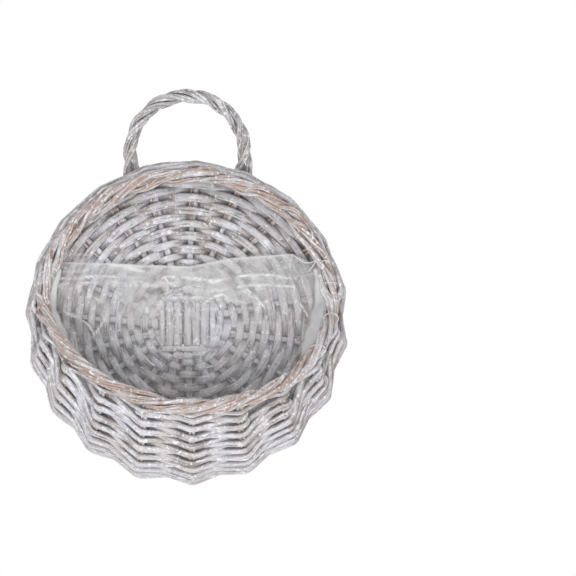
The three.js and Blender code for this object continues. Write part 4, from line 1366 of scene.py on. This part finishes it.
def frontFilm(angle):
    # The film inside the front, up to its hem under the border. Exp of minus a squared angle gathers its
    # sides, and a product of sines ripples it.
    knots = np.linspace(-2, form["stakes"] - 1, liner["tableSteps"])
    fromFirst = np.mod(angle - stakeAngle(knots[0]), turn)
    index = np.interp(fromFirst, stakeAngle(knots) - stakeAngle(knots[0]), knots)
    up = np.linspace(0, 1, liner["frontRows"] + 1)[1:, None]
    shares = up * (1 - liner["underEdge"] / wallAt(index, 1.0)[1])
    at, _, out, _, _ = wallPlace(np.broadcast_to(index, shares.shape), shares)
    degrees = np.degrees(angle)
    gather = 0
    for middle, wide, depth in liner["gathers"]:
        gather = gather + depth * np.exp(-((degrees - middle) / wide) ** 2)
    gather = gather * np.sin(np.clip(up * liner["gatherRise"], 0, 1) * turn / 4)
    gather = gather * (1 - ease(up, *liner["gatherEnds"]))
    ripple = np.sin(degrees * liner["rippleAcross"] + up * liner["rippleUp"])
    ripple = 1 + ripple * np.sin(degrees * liner["rippleSlow"] + 2)
    ripple = ripple * liner["rippleDepth"] * np.clip(up * liner["rippleStart"], 0, 1)
    ripple = ripple * (1 - ease(up, *liner["rippleEnds"]))
    sheet = at - out * column(liner["inset"] + gather + ripple)
    last = slice(-liner["hemRows"], None)
    closing = np.linspace(0, 1, liner["hemRows"])[:, None, None]
    sheet[last] = mix(sheet[last], at[last] - out[last] * liner["hemInset"], closing)
    return sheet, 0 * shares, ease(up, *liner["hemSteps"]) + 0 * degrees


def linerSheet():
    # The film as a grid: across from one corner to the other, down over the back and up inside the front.
    angle = np.linspace(-1, 1, liner["columns"]) * liner["cornerShare"] * cornerAngle
    return (np.concatenate(parts) for parts in zip(backFilm(angle), frontFilm(angle)))


def threadRods():
    # A stitch is a ring of thread round the border, a cosine up the wall and a sine out of it, and two
    # loose ends hang from the knot at the right. Returns lines and their outward directions.
    rods = []
    around = np.linspace(0, turn, thread["points"])
    for n, index in enumerate(thread["stitches"]):
        at, along, inner, out = borderFrame(index)
        ring = inner * column(np.cos(around) * (border["rope"] + thread["clearance"]))
        ring = ring + out * column(np.sin(around) * (border["ropeWide"] + thread["clearance"]))
        lean = along * column(thread["lean"] * np.sin(around + n))
        rods.append((at + ring + lean, np.gradient(ring, axis=0)))
    knot = edgePoint(thread["knot"]) + np.array(thread["knotOffset"])
    t = np.linspace(0, 1, thread["endPoints"])
    for across, up, sag in thread["ends"]:
        forward = -thread["endForward"] * np.sin(t * thread["endBend"])
        line = knot + np.stack([across * t, forward, up * t - sag * np.sin(t * math.pi)], axis=-1)
        rods.append((line, np.tile(thread["endOut"], (len(t), 1))))
    return rods


def buildLiner():
    grid, crease, hem = linerSheet()
    rows, columns = grid.shape[:2]
    i, j = np.meshgrid(np.arange(rows - 1), np.arange(columns - 1), indexing="ij")
    corner = i * columns + j
    quads = np.stack([corner, corner + columns, corner + columns + 1, corner + 1], axis=-1)
    quads = quads.reshape(-1, 4)
    uvs = np.stack([j, i, j, i + 1, j + 1, i + 1, j + 1, i], axis=-1).reshape(-1, 2)
    uvs = uvs / [columns - 1, rows - 1]
    values = {"crease": crease.reshape(-1), "hem": hem.reshape(-1)}
    piece = addMesh("filmLiner", grid.reshape(-1, 3), quads, uvs, values, makeFilm())
    thicken = piece.modifiers.new("thickness", "SOLIDIFY")
    thicken.thickness = liner["thickness"] * mm
    thicken.offset = 0
    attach(piece, "root")
    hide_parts("liner")
    width = thread["radius"] * 2
    rods = [makeRod(line, out, width, width, thread["lime"], thread["seed"] + n, 0.0)
            for n, (line, out) in enumerate(threadRods())]
    addRods("threadStitches", rods, "liner", (makeThread(), "clear_film"))


buildLiner()
print("liner hung")

# Camera, floor and light
view = {
    "distance": 7.0,
    "mmPerPixel": 0.963,
    "imageSize": 576,
    "centrePixel": (187.5, 323.5),   # where the middle of the back stands in the picture
    "filmWidth": 36,
    "farthest": 60,
}


def buildCamera():
    data = bpy.data.cameras.new("camera")
    width = view["mmPerPixel"] * view["imageSize"] * mm
    data.sensor_width = view["filmWidth"]
    data.lens = data.sensor_width * view["distance"] / width
    data.shift_x = (view["imageSize"] / 2 - view["centrePixel"][0]) / view["imageSize"]
    data.shift_y = (view["centrePixel"][1] - view["imageSize"] / 2) / view["imageSize"]
    data.clip_end = view["farthest"]
    camera = bpy.data.objects.new("camera", data)
    camera.location = (0, form["origin"][1] * mm - view["distance"], form["origin"][2] * mm)
    camera.rotation_euler = (math.radians(90), 0, 0)
    bpy.context.collection.objects.link(camera)
    bpy.context.scene.camera = camera


studio = {
    "worldStrength": 0.52,
    "floorDrop": 1.8,
    "floorHalf": 3.0,
    "floorColor": (0.93, 0.93, 0.93, 1),
    "floorRoughness": 0.9,
    "aimForward": 0.03,
    "lamps": [
        {"name": "keyLamp", "place": (-0.3, -2.4, -1.15), "size": 0.9, "power": 29},
        {"name": "fillLamp", "place": (0.5, -2.4, 1.5), "size": 1.6, "power": 18},
        {"name": "rearLamp", "place": (0.3, 2.4, 1.2), "size": 1.8, "power": 14},
    ],
}


def whiteForCamera(tree, shader, output):
    # The camera and what mirrors or passes light see plain white; everything else gets the shader.
    path = addNode(tree, "ShaderNodeLightPath").outputs
    seen = calc(tree, "MAXIMUM", path["Is Camera Ray"], path["Is Glossy Ray"])
    seen = calc(tree, "MAXIMUM", seen, path["Is Transmission Ray"])
    white = addNode(tree, "ShaderNodeBackground", {"Color": (1, 1, 1, 1), "Strength": 1}).outputs[0]
    both = addNode(tree, "ShaderNodeMixShader", {0: seen, 1: shader, 2: white})
    tree.links.new(both.outputs[0], output)


def buildWorld():
    world = bpy.data.worlds.new("studio")
    world.use_nodes = True
    light = world.node_tree.nodes["Background"]
    light.inputs["Color"].default_value = (1, 1, 1, 1)
    light.inputs["Strength"].default_value = studio["worldStrength"]
    surface = world.node_tree.nodes["World Output"].inputs["Surface"]
    whiteForCamera(world.node_tree, light.outputs[0], surface)
    bpy.context.scene.world = world


def buildFloor():
    size, level = studio["floorHalf"], -studio["floorDrop"]
    corners = [(x, y, level) for x, y in ((-size, -size), (size, -size), (size, size), (-size, size))]
    mesh = bpy.data.meshes.new("floor")
    mesh.from_pydata(corners, [], [(0, 1, 2, 3)])
    material, _, shader = startMaterial("paleFloor")
    shader.inputs["Base Color"].default_value = studio["floorColor"]
    shader.inputs["Roughness"].default_value = studio["floorRoughness"]
    mesh.materials.append(material)
    floor = bpy.data.objects.new("floor", mesh)
    bpy.context.collection.objects.link(floor)


def buildLamps():
    for lamp in studio["lamps"]:
        data = bpy.data.lights.new(lamp["name"], "AREA")
        data.size = lamp["size"]
        data.energy = lamp["power"]
        piece = bpy.data.objects.new(lamp["name"], data)
        aim = np.array([0, -studio["aimForward"], form["origin"][2] * mm]) - lamp["place"]
        tilt, heading = math.atan2(math.hypot(aim[0], aim[1]), -aim[2]), math.atan2(-aim[0], aim[1])
        piece.location = lamp["place"]
        piece.rotation_euler = (tilt, 0, heading)
        bpy.context.collection.objects.link(piece)


buildCamera()
buildWorld()
buildFloor()
buildLamps()
bpy.context.scene.view_settings.view_transform = "Standard"
print("studio set")
